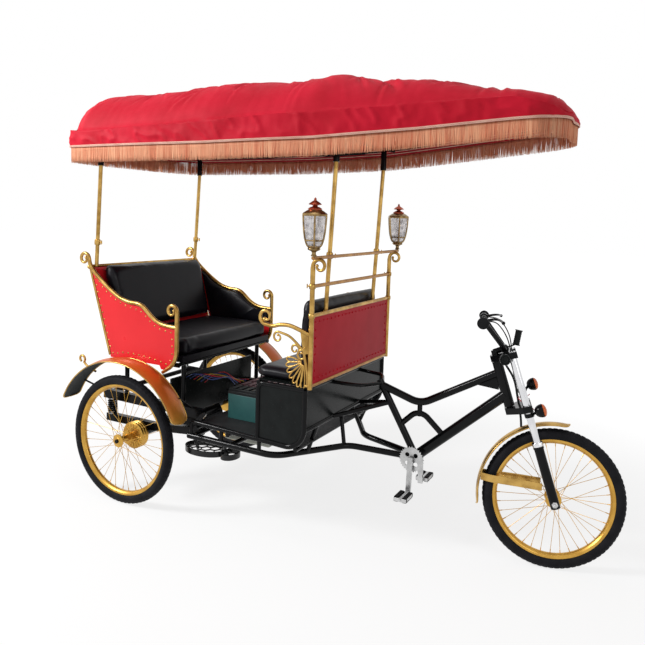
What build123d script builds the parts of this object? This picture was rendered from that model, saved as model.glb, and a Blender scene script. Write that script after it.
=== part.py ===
from build123d import *
from math import cos, degrees, pi, radians, sin, sqrt, tan, atan2
import os

# Passenger pedicab: a tricycle with two facing benches behind the rider, a fringed canopy,
# an electric rear axle and a telescopic front fork.
# Millimetres. +X forward, +Y left, +Z up. Places along X are counted from the rear axle and
# moved by `place`, so that the part's origin is on the ground under the middle of its length.

os.makedirs("parts", exist_ok=True)

# Wheels
rear_wheel_radius = 333.5
front_wheel_radius = 307.5
tyre_width = 54.0
tyre_height = 46.0
rim_depth = 20.0
rim_width = 34.0
spoke_radius = 1.6
spokes_each_wheel = 36
track = 961.0
rear_axle_radius = 10.0
front_axle_radius = 6.0
bearing_clearance = 0.05
drum_radius = 70.0

# Steering head and fork
head_angle = 19.0
steer_at_rest = 15.5
head_foot_x = 1862.0
head_foot_z = 694.5
head_length = 205.0
head_radius = 23.0
steerer_radius = 14.3
fork_rake = 72.0
leg_spread = 69.0
stanchion_radius = 16.5
lower_leg_radius = 21.0
lower_leg_length = 250.0
crown_thickness = 28.0
crown_gap = 4.0
bar_rise = 150.0
bar_width = 600.0
grip_length = 115.0
grip_radius = 17.0

# Frame
rail_spread = 420.0
rail_radius = 12.5
floor_rail_z = 474.0
low_rail_z = 408.0
low_tube_radius = 15.0
box_rear_x = 792.0
box_front_x = 1044.0
box_top_z = 735.0
floor_start_x = 408.0
low_start_x = 382.0
crank_x = 1425.0
crank_z = 375.0
crank_length = 150.0
chainring_radius = 61.0
pedal_reach = 142.0
pedal_axle_radius = 6.0
spindle_radius = 9.5
shell_radius = 23.0
shell_half = 36.0
seat_post_bore = 13.6
seat_post_depth = 120.0
seat_gap = 0.3
bench_rail_z = 742.0
bench_rail_radius = 12.0
side_member_z = 500.0
arm_z = 372.0
box_tube_radius = 11.0
floor_bar_radius = 11.0
battery_length = 267.0
battery_width = 77.0
battery_height = 165.0

# Benches
bench_half = 380.0
panel_thickness = 6.0
rear_seat_z = 785.0
seat_thickness = 80.0
rear_seat_front_x = 312.0
rear_seat_back_x = -150.0
front_seat_thickness = 52.0
gold_tube_radius = 11.0
post_x = 1067.0
lantern_spread = 463.0
front_panel_top_z = 1073.0
rail_2_z = 1205.0
rail_1_z = 1335.0

# Mudguards and canopy
mudguard_radius = 425.0
mudguard_inner = 426.0
mudguard_width = 115.0
mudguard_crown = 12.0
sheet_metal = 2.5
cloth = 4.0
fringe_length = 84.0
post_radius = 12.0
sleeve_radius = 15.0

# Where the fork stands: x to the front of the steering axis, y to the left, z up along it
tilt = radians(head_angle)
turn = radians(steer_at_rest)
tyre_middle = front_wheel_radius - tyre_width / 2
front_hub_z = tyre_middle * sqrt(1 - (sin(turn) * sin(tilt)) ** 2) + tyre_width / 2
hub_drop = (head_foot_z + fork_rake * sin(tilt) * cos(turn) - front_hub_z) / cos(tilt)
front_hub_x = head_foot_x + hub_drop * sin(tilt) + fork_rake * cos(tilt) * cos(turn)
front_reach = (
    front_hub_x + tyre_middle * sqrt(1 - (sin(turn) * cos(tilt)) ** 2) + tyre_width / 2
)

# Canopy stations from the rear to the front, from the rear axle:
# x, half width, hem height, fold height, crown height
canopy_stations = [
    (-450, 250, 1828, 1935, 2030),
    (-390, 430, 1828, 1915, 2085),
    (-290, 487, 1828, 1910, 2120),
    (500, 482, 1834, 1935, 2150),
    (1050, 425, 1850, 1965, 2155),
    (1500, 335, 1886, 1990, 2125),
    (1880, 272, 1922, 2015, 2075),
    (2000, 225, 1932, 1990, 2030),
    (2065, 130, 1938, 1965, 1985),
]
rear_reach = -canopy_stations[0][0]
origin_x = (front_reach - rear_reach) / 2


def place(x, y, z):
    """A point counted from the rear axle, in the part's own frame."""
    return Vector(x - origin_x, y, z)


upwards = (-sin(tilt), 0, cos(tilt))
fork_plane = Plane(
    origin=place(head_foot_x, 0, head_foot_z),
    x_dir=(cos(tilt) * cos(turn), sin(turn), sin(tilt) * cos(turn)),
    z_dir=upwards,
)


def on_fork(x, y, z):
    """A point of the steered front end, in the part's own frame."""
    return fork_plane.from_local_coords(Vector(x, y, z))


front_hub = on_fork(fork_rake, 0, -hub_drop)
front_axle_dir = fork_plane.y_dir
crank_centre = place(crank_x, 0, crank_z)


def tube(points, radius, bend=0.0):
    """Adds a round tube along straight runs joined by bends of one radius."""
    with BuildLine() as path:
        if bend and len(points) > 2:
            FilletPolyline(*points, radius=bend)
        else:
            Polyline(*points)
    with BuildSketch(Plane(path.line @ 0, z_dir=path.line % 0)) as section:
        Circle(radius)
    sweep(section.sketch, path=path.line)


def box_bar(start, end, width, height):
    """Adds a straight bar of rectangular section with its width across the vehicle."""
    along = (end - start).normalized()
    with BuildSketch(Plane(start, x_dir=(0, 1, 0), z_dir=along)) as section:
        Rectangle(width, height)
    extrude(section.sketch, amount=(end - start).length)


def rod(start, end, radius):
    """Adds a straight round bar between two points."""
    along = end - start
    with BuildSketch(Plane(start, z_dir=along.normalized())) as section:
        Circle(radius)
    extrude(section.sketch, amount=along.length)


def scroll(start, heading, radius, thickness, quarters=5, hand=1):
    """Adds a bar wound up from start in quarter turns that shrink, in the plane along X and Z.

    Heading is the angle of the bar at start, up from +X, and hand is 1 to wind to the left.
    """
    plane = Plane(start, x_dir=(1, 0, 0), z_dir=(0, -1, 0))
    x, z = 0.0, 0.0
    with BuildLine(plane) as path:
        for _ in range(quarters):
            first = radians(heading - 90 * hand)
            middle_x = x - radius * cos(first)
            middle_z = z - radius * sin(first)
            CenterArc((middle_x, middle_z), radius, degrees(first), 90 * hand)
            heading += 90 * hand
            last = radians(heading - 90 * hand)
            x = middle_x + radius * cos(last)
            z = middle_z + radius * sin(last)
            radius *= 0.78
    with BuildSketch(Plane(path.line @ 0, z_dir=path.line % 0)) as section:
        Circle(thickness)
    sweep(section.sketch, path=path.line)


def outline(y, points, thickness):
    """Adds a flat plate with its outline in X and Z, centred on y."""
    with BuildSketch(Plane(place(0, y, 0), x_dir=(1, 0, 0), z_dir=(0, -1, 0))) as section:
        with BuildLine():
            Polyline(*points, close=True)
        make_face()
    extrude(section.sketch, amount=thickness / 2, both=True)


def cope(*others):
    """Cuts the piece in work where it meets finished pieces, as the end of a tube is coped."""
    for other in others:
        add(other.part, mode=Mode.SUBTRACT)


def save(part, name):
    """Labels a finished sub-part and writes it as parts/name.step."""
    part.label = name
    export_step(part, f"parts/{name}.step")
    print(name, round(part.volume / 1000), "cm3")


# Wheels: name, hub, axle direction, radius, axle radius, hub half length, drum side (0 for none)
wheels = [
    ("rear_right", place(0, -track / 2, rear_wheel_radius), Vector(0, 1, 0), rear_wheel_radius,
     rear_axle_radius, 38.0, 1),
    ("rear_left", place(0, track / 2, rear_wheel_radius), Vector(0, 1, 0), rear_wheel_radius,
     rear_axle_radius, 38.0, -1),
    ("front", front_hub, front_axle_dir, front_wheel_radius, front_axle_radius, 40.0, 0),
]
hub_radius = 19.0
flange_radius = 34.0
flange_thickness = 3.0
drum_width = 48.0
drum_gap = 26.0
for name, hub, axle_dir, radius, axle_radius, half_hub, drum_side in wheels:
    axis = Axis(hub, axle_dir)
    radial = Plane(hub, x_dir=Plane(hub, z_dir=axle_dir).x_dir, z_dir=axle_dir).x_dir
    section = Plane(hub, x_dir=radial, z_dir=radial.cross(axle_dir))
    bead_radius = radius - tyre_height
    with BuildPart() as tyre:
        with BuildSketch(section):
            with Locations((radius - tyre_width / 2, 0)):
                Circle(tyre_width / 2)
            with Locations((bead_radius - tyre_width / 2, 0)):
                Rectangle(tyre_width, tyre_width, mode=Mode.SUBTRACT)
        revolve(axis=axis)
    save(tyre.part, f"{name}_tyre")
    with BuildPart() as wheel:
        with BuildSketch(section):
            with BuildLine():
                Polyline(
                    (bead_radius, -rim_width / 2),
                    (bead_radius, rim_width / 2),
                    (bead_radius - rim_depth * 0.5, rim_width / 2),
                    (bead_radius - rim_depth, rim_width * 0.3),
                    (bead_radius - rim_depth, -rim_width * 0.3),
                    (bead_radius - rim_depth * 0.5, -rim_width / 2),
                    close=True,
                )
            make_face()
            with Locations((hub_radius / 2, 0)):
                Rectangle(hub_radius, 2 * half_hub)
            for flange in (-1, 1):
                with Locations((flange_radius / 2, flange * (half_hub - 8))):
                    Rectangle(flange_radius, flange_thickness)
            if drum_side:
                drum_start = half_hub + drum_gap
                with Locations((hub_radius / 2, drum_side * (half_hub + drum_gap / 2))):
                    Rectangle(hub_radius, drum_gap)
                with Locations((drum_radius / 2, drum_side * (drum_start + drum_width / 2))):
                    Rectangle(drum_radius, drum_width)
            with Locations((0, 0)):
                Rectangle(
                    2 * (axle_radius + bearing_clearance), 6 * half_hub, mode=Mode.SUBTRACT
                )
        revolve(axis=axis)
        spoke_places = []
        rim_inside = bead_radius - rim_depth * 0.9
        for k in range(spokes_each_wheel):
            angle = 2 * pi * k / spokes_each_wheel
            lead = (1 if (k // 2) % 2 else -1) * radians(38)
            side = 1 if k % 2 else -1
            across = radial.cross(axle_dir)
            foot = hub + (radial * cos(angle + lead) + across * sin(angle + lead)) * (
                flange_radius - 5
            ) + axle_dir * (side * (half_hub - 8))
            head = hub + (radial * cos(angle) + across * sin(angle)) * rim_inside
            spoke_places.append(Location(Plane(foot, z_dir=(head - foot).normalized())))
            spoke_length = (head - foot).length
        with Locations(*spoke_places):
            Cylinder(
                spoke_radius,
                spoke_length,
                align=(Align.CENTER, Align.CENTER, Align.MIN),
            )
    save(wheel.part, f"{name}_wheel")

# Floor rails that turn up round the front of the bench box, and the box's own frame
with BuildPart() as floor_rails:
    for side in (-1, 1):
        y = side * rail_spread
        tube(
            [place(floor_start_x, y, floor_rail_z + 7), place(box_front_x, y, floor_rail_z - 18),
             place(box_front_x, y, box_top_z)],
            rail_radius, bend=95,
        )
        tube([place(box_rear_x, y, floor_rail_z - 8), place(box_rear_x, y, box_top_z),
              place(box_front_x, y, box_top_z)], box_tube_radius, bend=30)
    for x, z in ((box_front_x, 545.0), (box_front_x, box_top_z), (box_rear_x, box_top_z)):
        rod(place(x, -rail_spread, z), place(x, rail_spread, z), box_tube_radius)
    for x in (floor_start_x + 16, 620.0, 1000.0):
        rod(place(x, -rail_spread, floor_rail_z - 22), place(x, rail_spread, floor_rail_z - 22),
            floor_bar_radius)
save(floor_rails.part, "floor_rails")

with BuildPart() as low_rails:
    for side in (-1, 1):
        tube(
            [place(low_start_x, side * rail_spread, low_rail_z),
             place(890, side * rail_spread, low_rail_z - 6),
             place(1105, side * 88, low_rail_z - 14),
             place(crank_x - 14, side * 19, crank_z)],
            low_tube_radius, bend=110,
        )
        for x in (low_start_x + 18, 583, 803):
            rod(place(x, side * rail_spread, low_rail_z - 3),
                place(x, side * rail_spread, floor_rail_z), 10)
        rod(place(985, side * 283, low_rail_z - 10), place(box_front_x, side * 300, 545), 10)
        rod(place(1090, side * 106, low_rail_z - 12), place(box_front_x, side * 60, 545), 10)
    for x in (low_start_x + 20, 640):
        rod(place(x, -rail_spread, low_rail_z - 2), place(x, rail_spread, low_rail_z - 2), 12)
    cope(floor_rails)

# The straight front ends are a node of their own, beside the pedals' path
rail_end = Plane(place(1165, 0, 0), x_dir=(0, 1, 0), z_dir=(1, 0, 0))
with BuildPart() as low_rails_rear:
    add(low_rails.part)
    split(bisect_by=rail_end, keep=Keep.BOTTOM)
save(low_rails_rear.part, "low_rails")
with BuildPart() as low_rail_ends:
    add(low_rails.part)
    split(bisect_by=rail_end, keep=Keep.TOP)
save(low_rail_ends.part, "low_rail_ends")

# Rider's frame: seat tube, bent top tube, arch, down tube and head tube
head_low = place(head_foot_x, 0, head_foot_z)
head_dir = Vector(*upwards)
top_joint = head_low + head_dir * (head_length * 0.76)
down_joint = head_low + head_dir * (head_length * 0.26)
seat_top = place(1222, 0, 722)
with BuildPart() as main_frame:
    rod(crank_centre + Vector(0, shell_half, 0), crank_centre - Vector(0, shell_half, 0),
        shell_radius)
    rod(crank_centre, seat_top, 17)
    tube([seat_top - Vector(-16, 0, 26), place(1439, 0, 634), top_joint], 18, bend=120)
    rod(crank_centre, down_joint, 25)
    tube([place(1343, 0, 520), place(1436, 0, 610), place(1560, 0, 500)], 14, bend=62)
    rod(place(1437, 0, 575), place(1437, 0, 636), 12)
    rod(head_low, head_low + head_dir * head_length, head_radius)
    outline(0, [(1690, 770), (1810, 760), (1812, 850)], 10)
    for side in (-1, 1):
        tube([place(box_front_x, side * 150, 716), place(1180, side * 130, 712),
              place(1238, 0, 706)], 9, bend=60)
        rod(place(box_front_x, side * 150, 545), seat_top - (seat_top - crank_centre) * 0.30, 11)
    with BuildSketch(Plane(head_low - head_dir * 5, z_dir=head_dir)):
        Circle(steerer_radius + bearing_clearance)
    extrude(amount=head_length + 10, mode=Mode.SUBTRACT)
    with BuildSketch(Plane(crank_centre - Vector(0, 60, 0), z_dir=(0, 1, 0))):
        Circle(spindle_radius + bearing_clearance)
    extrude(amount=120, mode=Mode.SUBTRACT)
    with BuildSketch(Plane(seat_top, z_dir=(crank_centre - seat_top).normalized())):
        Circle(seat_post_bore)
    extrude(amount=seat_post_depth, mode=Mode.SUBTRACT)
    cope(floor_rails, low_rails)
save(main_frame.part, "main_frame")

# Chassis side members under the rear bench, with the posts that carry it
member_y = 324.5
with BuildPart() as rear_frame:
    for side in (-1, 1):
        y = side * member_y
        box_bar(place(-290, y, side_member_z), place(400, y, side_member_z - 10), 30, 48)
        for x in (-130, 262):
            rod(place(x, y, side_member_z + 10), place(x, y, bench_rail_z), 12)
        rod(place(-162, side * 395, bench_rail_z), place(294, side * 395, bench_rail_z),
            bench_rail_radius)
        box_bar(place(398, y, side_member_z - 10), place(floor_start_x + 20, side * rail_spread,
                floor_rail_z), 24, 24)
        rod(place(385, y, side_member_z - 14), place(low_start_x + 20, y, low_rail_z), 12)
    for x in (-150, 60, 282):
        rod(place(x, -395, bench_rail_z), place(x, 395, bench_rail_z), 10)
    for x in (-275, 100):
        rod(place(x, -member_y, side_member_z), place(x, member_y, side_member_z), 14)
    cope(floor_rails, low_rails)
save(rear_frame.part, "rear_frame")

# Rear axle with its motor and differential
axle_end = track / 2 + 46
axle_tube_half = track / 2 - 38 - drum_gap - drum_width - 6
hub_level = place(0, 0, rear_wheel_radius)
with BuildPart() as rear_axle:
    rod(hub_level - Vector(0, axle_end, 0), hub_level + Vector(0, axle_end, 0), rear_axle_radius)
    rod(hub_level - Vector(0, axle_tube_half, 0), hub_level + Vector(0, axle_tube_half, 0), 24)
    with BuildSketch(Plane(hub_level, x_dir=(1, 0, 0), z_dir=(0, 0, 1))):
        with BuildLine():
            Polyline((0, -120), (35, -120), (92, -60), (92, 60), (35, 120), (0, 120), close=True)
        make_face()
    revolve(axis=Axis(hub_level, (0, 1, 0)))
    rod(hub_level + Vector(90, -60, 0), hub_level + Vector(90, 130, 0), 78)
save(rear_axle.part, "rear_axle")

# Trailing arms from the low cross tube, with a coil spring behind each
spring_x = -238.0
spring_foot_z = 392.0
with BuildPart() as trailing_arms:
    for side in (-1, 1):
        y = side * member_y
        box_bar(place(low_start_x + 10, y, 402), place(80, y, arm_z), 30, 40)
        box_bar(place(82, y, arm_z), place(spring_x - 30, y, arm_z), 30, 40)
    cope(low_rails, rear_frame, rear_axle)
save(trailing_arms.part, "trailing_arms")

with BuildPart() as rear_springs:
    for side in (-1, 1):
        y = side * member_y
        rod(place(spring_x, y, spring_foot_z), place(spring_x, y, side_member_z - 20), 18)
        with Locations(*[
            Location(place(spring_x, y, spring_foot_z + 7 + 14 * k)) for k in range(6)
        ]):
            Torus(21, 6)
    cope(rear_frame, trailing_arms)
save(rear_springs.part, "rear_springs")

# Bench box between the rails, open at the back, and the floor
box_board_z = box_top_z + box_tube_radius + seat_gap
with BuildPart() as bench_box:
    box_bar(place(box_rear_x - 6, 0, box_board_z + 2.5), place(box_front_x + 6, 0,
            box_board_z + 2.5), 2 * rail_spread - 20, 5)
    for side in (-1, 1):
        outline(side * rail_spread, [(box_rear_x, 470), (box_front_x - 60, 462),
                (box_front_x, 530), (box_front_x, box_top_z), (box_rear_x, box_top_z)], 3)
    box_bar(place(box_front_x - 1.5, 0, 640), place(box_front_x + 1.5, 0, 640),
            2 * rail_spread - 10, 190)
    cope(floor_rails, low_rails, main_frame)
save(bench_box.part, "bench_box")

floor_top_z = floor_rail_z - 22 + floor_bar_radius + seat_gap + 5
with BuildPart() as footwell_floor:
    box_bar(place(floor_start_x + 2, 0, floor_top_z - 2.5), place(box_front_x - 16, 0,
            floor_top_z - 2.5), 2 * rail_spread - 30, 5)
    cope(rear_frame, low_rails)
save(footwell_floor.part, "footwell_floor")

with BuildPart() as batteries:
    for k in range(5):
        with Locations(Location(place(486 + battery_length / 2, -208 + 80 * k,
                                      floor_top_z + seat_gap + battery_height / 2))):
            Box(battery_length, battery_width, battery_height)
save(batteries.part, "batteries")

# Cast passenger steps: an oval ring and a smaller ring before it, each with a web
with BuildPart() as steps:
    for side in (-1, 1):
        for x, length, width in ((455, 235, 150), (606, 90, 110)):
            with BuildSketch(Plane(place(x, side * 375, 325), x_dir=(1, 0, 0), z_dir=(0, 0, 1))):
                Ellipse(length / 2, width / 2)
                Ellipse(length / 2 - 9, width / 2 - 9, mode=Mode.SUBTRACT)
            extrude(amount=28)
            with BuildSketch(Plane(place(x, side * 375, 330), x_dir=(1, 0, 0), z_dir=(0, 0, 1))):
                Rectangle(length - 10, 7)
                for bar in (-1, 0, 1):
                    with Locations((bar * length * 0.25, 0)):
                        Rectangle(7, width * (0.98 if bar == 0 else 0.84) - 8)
            extrude(amount=14)
        for x in (420, 600):
            rod(place(x, side * 395, 335), place(x, side * rail_spread, low_rail_z), 8)
    cope(low_rails)
save(steps.part, "passenger_steps")

# Rear bench: gilt rails first, then the panels cut to them
corner_bend = 70.0
corner = [(298 - corner_bend * (1 - cos(a)), 716 + corner_bend * (1 - sin(a)))
          for a in [radians(18 * k) for k in range(6)]]
panel_top = [(-299, 1200), (-159, 1093), (-23, 1036), (60, 1029), (121, 983), (202, 940),
             (298, 937)]
back_foot = (-152, 748)
back_slope = degrees(atan2(1200 - back_foot[1], -299 - back_foot[0]))
with BuildPart() as rear_rails:
    for side in (-1, 1):
        y = side * rail_spread
        tube([place(x, y, z) for x, z in panel_top], gold_tube_radius)
        tube([place(222, y, 716), place(298, y, 716), place(298, y, 1014)], gold_tube_radius,
             bend=corner_bend)
        scroll(place(298, y, 1014), 90, 24, 8)
        rod(place(*back_foot[:1], y, back_foot[1]), place(-315, y, 1249.6), 8)
        scroll(place(-315, y, 1249.6), back_slope, 27, 8)
    rod(place(-301, -rail_spread, 1206), place(-301, rail_spread, 1206), 9)
    cope(rear_frame)
save(rear_rails.part, "rear_bench_rails")

for side, name in ((-1, "right"), (1, "left")):
    with BuildPart() as side_panel:
        outline(side * rail_spread, panel_top + corner + [(200, 716), (190, 735), (-148, 735)],
                panel_thickness)
        cope(rear_rails, rear_frame)
    save(side_panel.part, f"rear_panel_{name}")

with BuildPart() as back_panel:
    box_bar(place(-156, 0, 759), place(-301, 0, 1206), 2 * rail_spread - 2 * panel_thickness,
            panel_thickness)
    cope(rear_rails, rear_frame)
save(back_panel.part, "rear_back_panel")

seat_board_z = bench_rail_z + bench_rail_radius + seat_gap
with BuildPart() as rear_seat_board:
    with Locations(Location(place((rear_seat_front_x + rear_seat_back_x) / 2 + 4, 0,
                                  (seat_board_z + rear_seat_z - seat_gap) / 2))):
        Box(rear_seat_front_x - rear_seat_back_x - 24, 2 * bench_half,
            rear_seat_z - seat_gap - seat_board_z)
save(rear_seat_board.part, "rear_seat_board")

with BuildPart() as rear_seat:
    with Locations(Location(place((rear_seat_front_x + rear_seat_back_x) / 2, 0,
                                  rear_seat_z + seat_thickness / 2))):
        Box(rear_seat_front_x - rear_seat_back_x, 2 * bench_half, seat_thickness)
    fillet(rear_seat.edges().group_by(Axis.Z)[-1], 20)
save(rear_seat.part, "rear_seat_cushion")

rear_seat_top = rear_seat_z + seat_thickness + seat_gap
with BuildPart() as rear_backrest:
    outline(0, [(-112, rear_seat_top), (-176, rear_seat_top), (-280, 1206), (-262, 1228),
                (-228, 1220), (-210, 1200)], 2 * bench_half)
    fillet(rear_backrest.edges().filter_by(Axis.Y).group_by(Axis.Z)[-1], 8)
save(rear_backrest.part, "rear_backrest")

with BuildPart() as side_pads:
    for side in (-1, 1):
        outline(side * (rail_spread - panel_thickness / 2 - 13 - seat_gap),
                [(-150, 1062), (-20, 1010), (60, 1002), (121, 957), (200, 914), (278, 908),
                 (278, rear_seat_top), (-95, rear_seat_top)], 26)
    cope(rear_backrest, rear_rails)
save(side_pads.part, "rear_side_pads")

# Front bench
with BuildPart() as front_seat:
    with Locations(Location(place(866, 0, box_board_z + 5 + seat_gap
                                  + front_seat_thickness / 2))):
        Box(250, 800, front_seat_thickness)
    fillet(front_seat.edges().group_by(Axis.Z)[-1], 16)
save(front_seat.part, "front_seat_cushion")

front_seat_top = box_board_z + 5 + 2 * seat_gap + front_seat_thickness
with BuildPart() as front_backrest:
    outline(0, [(966, front_seat_top), (1018, front_seat_top), (1028, 1140), (976, 1140)], 740)
    fillet(front_backrest.edges().filter_by(Axis.Y).group_by(Axis.Z)[-1], 16)
save(front_backrest.part, "front_backrest")

# Gilt rail frame: the top rail lies on the scrolls that end the posts
post_scroll_radius = 27.0
post_scroll_rod = 7.0
top_rail_radius = 8.0
post_scroll_z = rail_1_z - top_rail_radius - post_scroll_rod - post_scroll_radius
rail_1_x = post_x + post_scroll_radius
with BuildPart() as front_rails:
    for side in (-1, 1):
        y = side * rail_spread
        rod(place(post_x, y, box_top_z + 8), place(post_x, y, post_scroll_z), gold_tube_radius)
        scroll(place(post_x, y, post_scroll_z - 1), 90, post_scroll_radius, post_scroll_rod,
               hand=-1)
    for z in (box_top_z + 20, front_panel_top_z, rail_2_z):
        rod(place(post_x, -rail_spread, z), place(post_x, rail_spread, z), 9)
    rod(place(rail_1_x, -lantern_spread - 8, rail_1_z - 1.5), place(rail_1_x,
        lantern_spread + 8, rail_1_z - 1.5), top_rail_radius)
    rod(place(box_front_x, -rail_spread, box_top_z + 20), place(post_x, -rail_spread,
        box_top_z + 20), 8)
    rod(place(box_front_x, rail_spread, box_top_z + 20), place(post_x, rail_spread,
        box_top_z + 20), 8)
    cope(floor_rails, bench_box)
save(front_rails.part, "front_bench_rails")

with BuildPart() as front_panel:
    box_bar(place(post_x - panel_thickness / 2, 0, (box_top_z + 20 + front_panel_top_z) / 2),
            place(post_x + panel_thickness / 2, 0, (box_top_z + 20 + front_panel_top_z) / 2),
            2 * rail_spread, front_panel_top_z - box_top_z - 20)
    cope(front_rails)
save(front_panel.part, "front_panel")

with BuildPart() as front_arms:
    for side in (-1, 1):
        y = side * rail_spread
        tube([place(post_x, y, 984), place(960, y, 1024), place(880, y, 1012),
              place(836, y, 1012)], 9, bend=30)
        scroll(place(837, y, 1012), 180, 28, 8, hand=-1)
        with BuildSketch(Plane(place(0, y, 0), x_dir=(1, 0, 0), z_dir=(0, -1, 0))):
            with BuildLine():
                Polyline((1060, 765), (1060, 985), (1020, 1003), (952, 1012), (943, 985),
                         (975, 962), (984, 915), (946, 892), (932, 862), (946, 825), (970, 796),
                         (1006, 771), close=True)
            make_face()
            with Locations((1030, 945)):
                Circle(14, mode=Mode.SUBTRACT)
            for k in range(6):
                a = radians(200 + 16 * k)
                with Locations((1010 + 66 * cos(a), 900 + 80 * sin(a))):
                    SlotOverall(46, 10, rotation=degrees(a), mode=Mode.SUBTRACT)
        extrude(amount=4, both=True)
    cope(front_rails)
save(front_arms.part, "front_arm_brackets")

# Carriage lanterns: foot, body, roof and finial turned about one axis
lantern_foot_z = rail_1_z - 1.5 + top_rail_radius + seat_gap
with BuildPart() as lanterns:
    for side in (-1, 1):
        foot = place(rail_1_x, side * lantern_spread, lantern_foot_z)
        with BuildSketch(Plane(foot, x_dir=(1, 0, 0), z_dir=(0, -1, 0))):
            with BuildLine():
                Polyline((0, 0), (10, 0), (12, 20), (30, 30), (30, 36), (16, 40), (0, 40),
                         close=True)
            make_face()
            with BuildLine():
                Polyline((0, 178), (60, 178), (62, 184), (36, 202), (32, 210), (14, 226),
                         (9, 238), (0, 252), close=True)
            make_face()
        revolve(axis=Axis(foot, (0, 0, 1)))
        with Locations(*[
            Location(Plane(foot + Vector(27 * cos(a), 27 * sin(a), 34),
                           z_dir=Vector(30 * cos(a), 30 * sin(a), 146)))
            for a in [radians(60 * k) for k in range(6)]
        ]):
            Cylinder(3, 150, align=(Align.CENTER, Align.CENTER, Align.MIN))
save(lanterns.part, "lantern_frames")

with BuildPart() as lantern_glass:
    for side in (-1, 1):
        foot = place(rail_1_x, side * lantern_spread, lantern_foot_z)
        with BuildSketch(Plane(foot + Vector(0, 0, 40 + seat_gap), z_dir=(0, 0, 1))):
            RegularPolygon(24, 6)
        with BuildSketch(Plane(foot + Vector(0, 0, 178 - seat_gap), z_dir=(0, 0, 1))):
            RegularPolygon(51, 6)
        loft()
    cope(lanterns)
save(lantern_glass.part, "lantern_glass")

# Rear mudguards: a crowned strip bent round each wheel
with BuildPart() as mudguards:
    for side in (-1, 1):
        hub = place(0, side * (mudguard_inner + mudguard_width / 2), rear_wheel_radius)
        low = radians(20)
        edge = mudguard_radius - mudguard_crown
        half = mudguard_width / 2
        with BuildSketch(Plane(hub, x_dir=(cos(low), 0, sin(low)),
                               z_dir=(-sin(low), 0, cos(low)))):
            with BuildLine():
                ThreePointArc((edge, -half), (mudguard_radius, 0), (edge, half))
                Line((edge, half), (edge - sheet_metal, half))
                ThreePointArc((edge - sheet_metal, half), (mudguard_radius - sheet_metal, 0),
                              (edge - sheet_metal, -half))
                Line((edge - sheet_metal, -half), (edge, -half))
            make_face()
        revolve(axis=Axis(hub, (0, -1, 0)), revolution_arc=138)
    cope(rear_frame)
save(mudguards.part, "rear_mudguards")

# Stays: end on the mudguard as an angle, then the place on the frame
stay_feet = ((38, 318, 324.5, 512), (107, -130, 324.5, 690), (142, -280, 324.5, 508))
with BuildPart() as mudguard_stays:
    for side in (-1, 1):
        for angle, x, y, z in stay_feet:
            reach = mudguard_radius - mudguard_crown + 2
            rod(place(x, side * y, z),
                place(reach * cos(radians(angle)), side * (mudguard_inner + 10),
                      rear_wheel_radius + reach * sin(radians(angle))), 5)
    cope(rear_frame, mudguards)
save(mudguard_stays.part, "mudguard_stays")


# Canopy
def canopy_solid(inset, drop):
    """Adds the canopy's form through its stations, drawn in by inset and let down by drop."""
    sections = []
    for k, (x, half, hem, fold, crown) in enumerate(canopy_stations):
        shift = inset if k == 0 else (-inset if k == len(canopy_stations) - 1 else 0)
        w = half - inset
        with BuildSketch(
            Plane(place(x + shift, 0, 0), x_dir=(0, 1, 0), z_dir=(1, 0, 0))
        ) as section:
            with BuildLine():
                Polyline((-w, fold - inset), (-w, hem - drop), (w, hem - drop),
                         (w, fold - inset))
                ThreePointArc((w, fold - inset), (0, crown - inset), (-w, fold - inset))
            make_face()
        sections.append(section.sketch)
    loft(sections, ruled=True)


with BuildPart() as canopy_inside:
    canopy_solid(cloth, 20)
with BuildPart() as canopy:
    canopy_solid(0, 0)
    add(canopy_inside.part, mode=Mode.SUBTRACT)
save(canopy.part, "canopy_cloth")


def fringe_solid(inset, extra):
    """Adds the skirt's form under the hem, drawn in by inset and longer by extra at each end."""
    sections = []
    for k, (x, half, hem, fold, crown) in enumerate(canopy_stations):
        shift = inset if k == 0 else (-inset if k == len(canopy_stations) - 1 else 0)
        with BuildSketch(
            Plane(place(x + shift, 0, hem - fringe_length / 2), x_dir=(0, 1, 0), z_dir=(1, 0, 0))
        ) as section:
            Rectangle(2 * (half - inset), fringe_length + 2 * extra)
        sections.append(section.sketch)
    loft(sections, ruled=True)


with BuildPart() as fringe_inside:
    fringe_solid(5, 10)
with BuildPart() as fringe:
    fringe_solid(0, 0)
    add(fringe_inside.part, mode=Mode.SUBTRACT)
save(fringe.part, "canopy_fringe")

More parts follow.
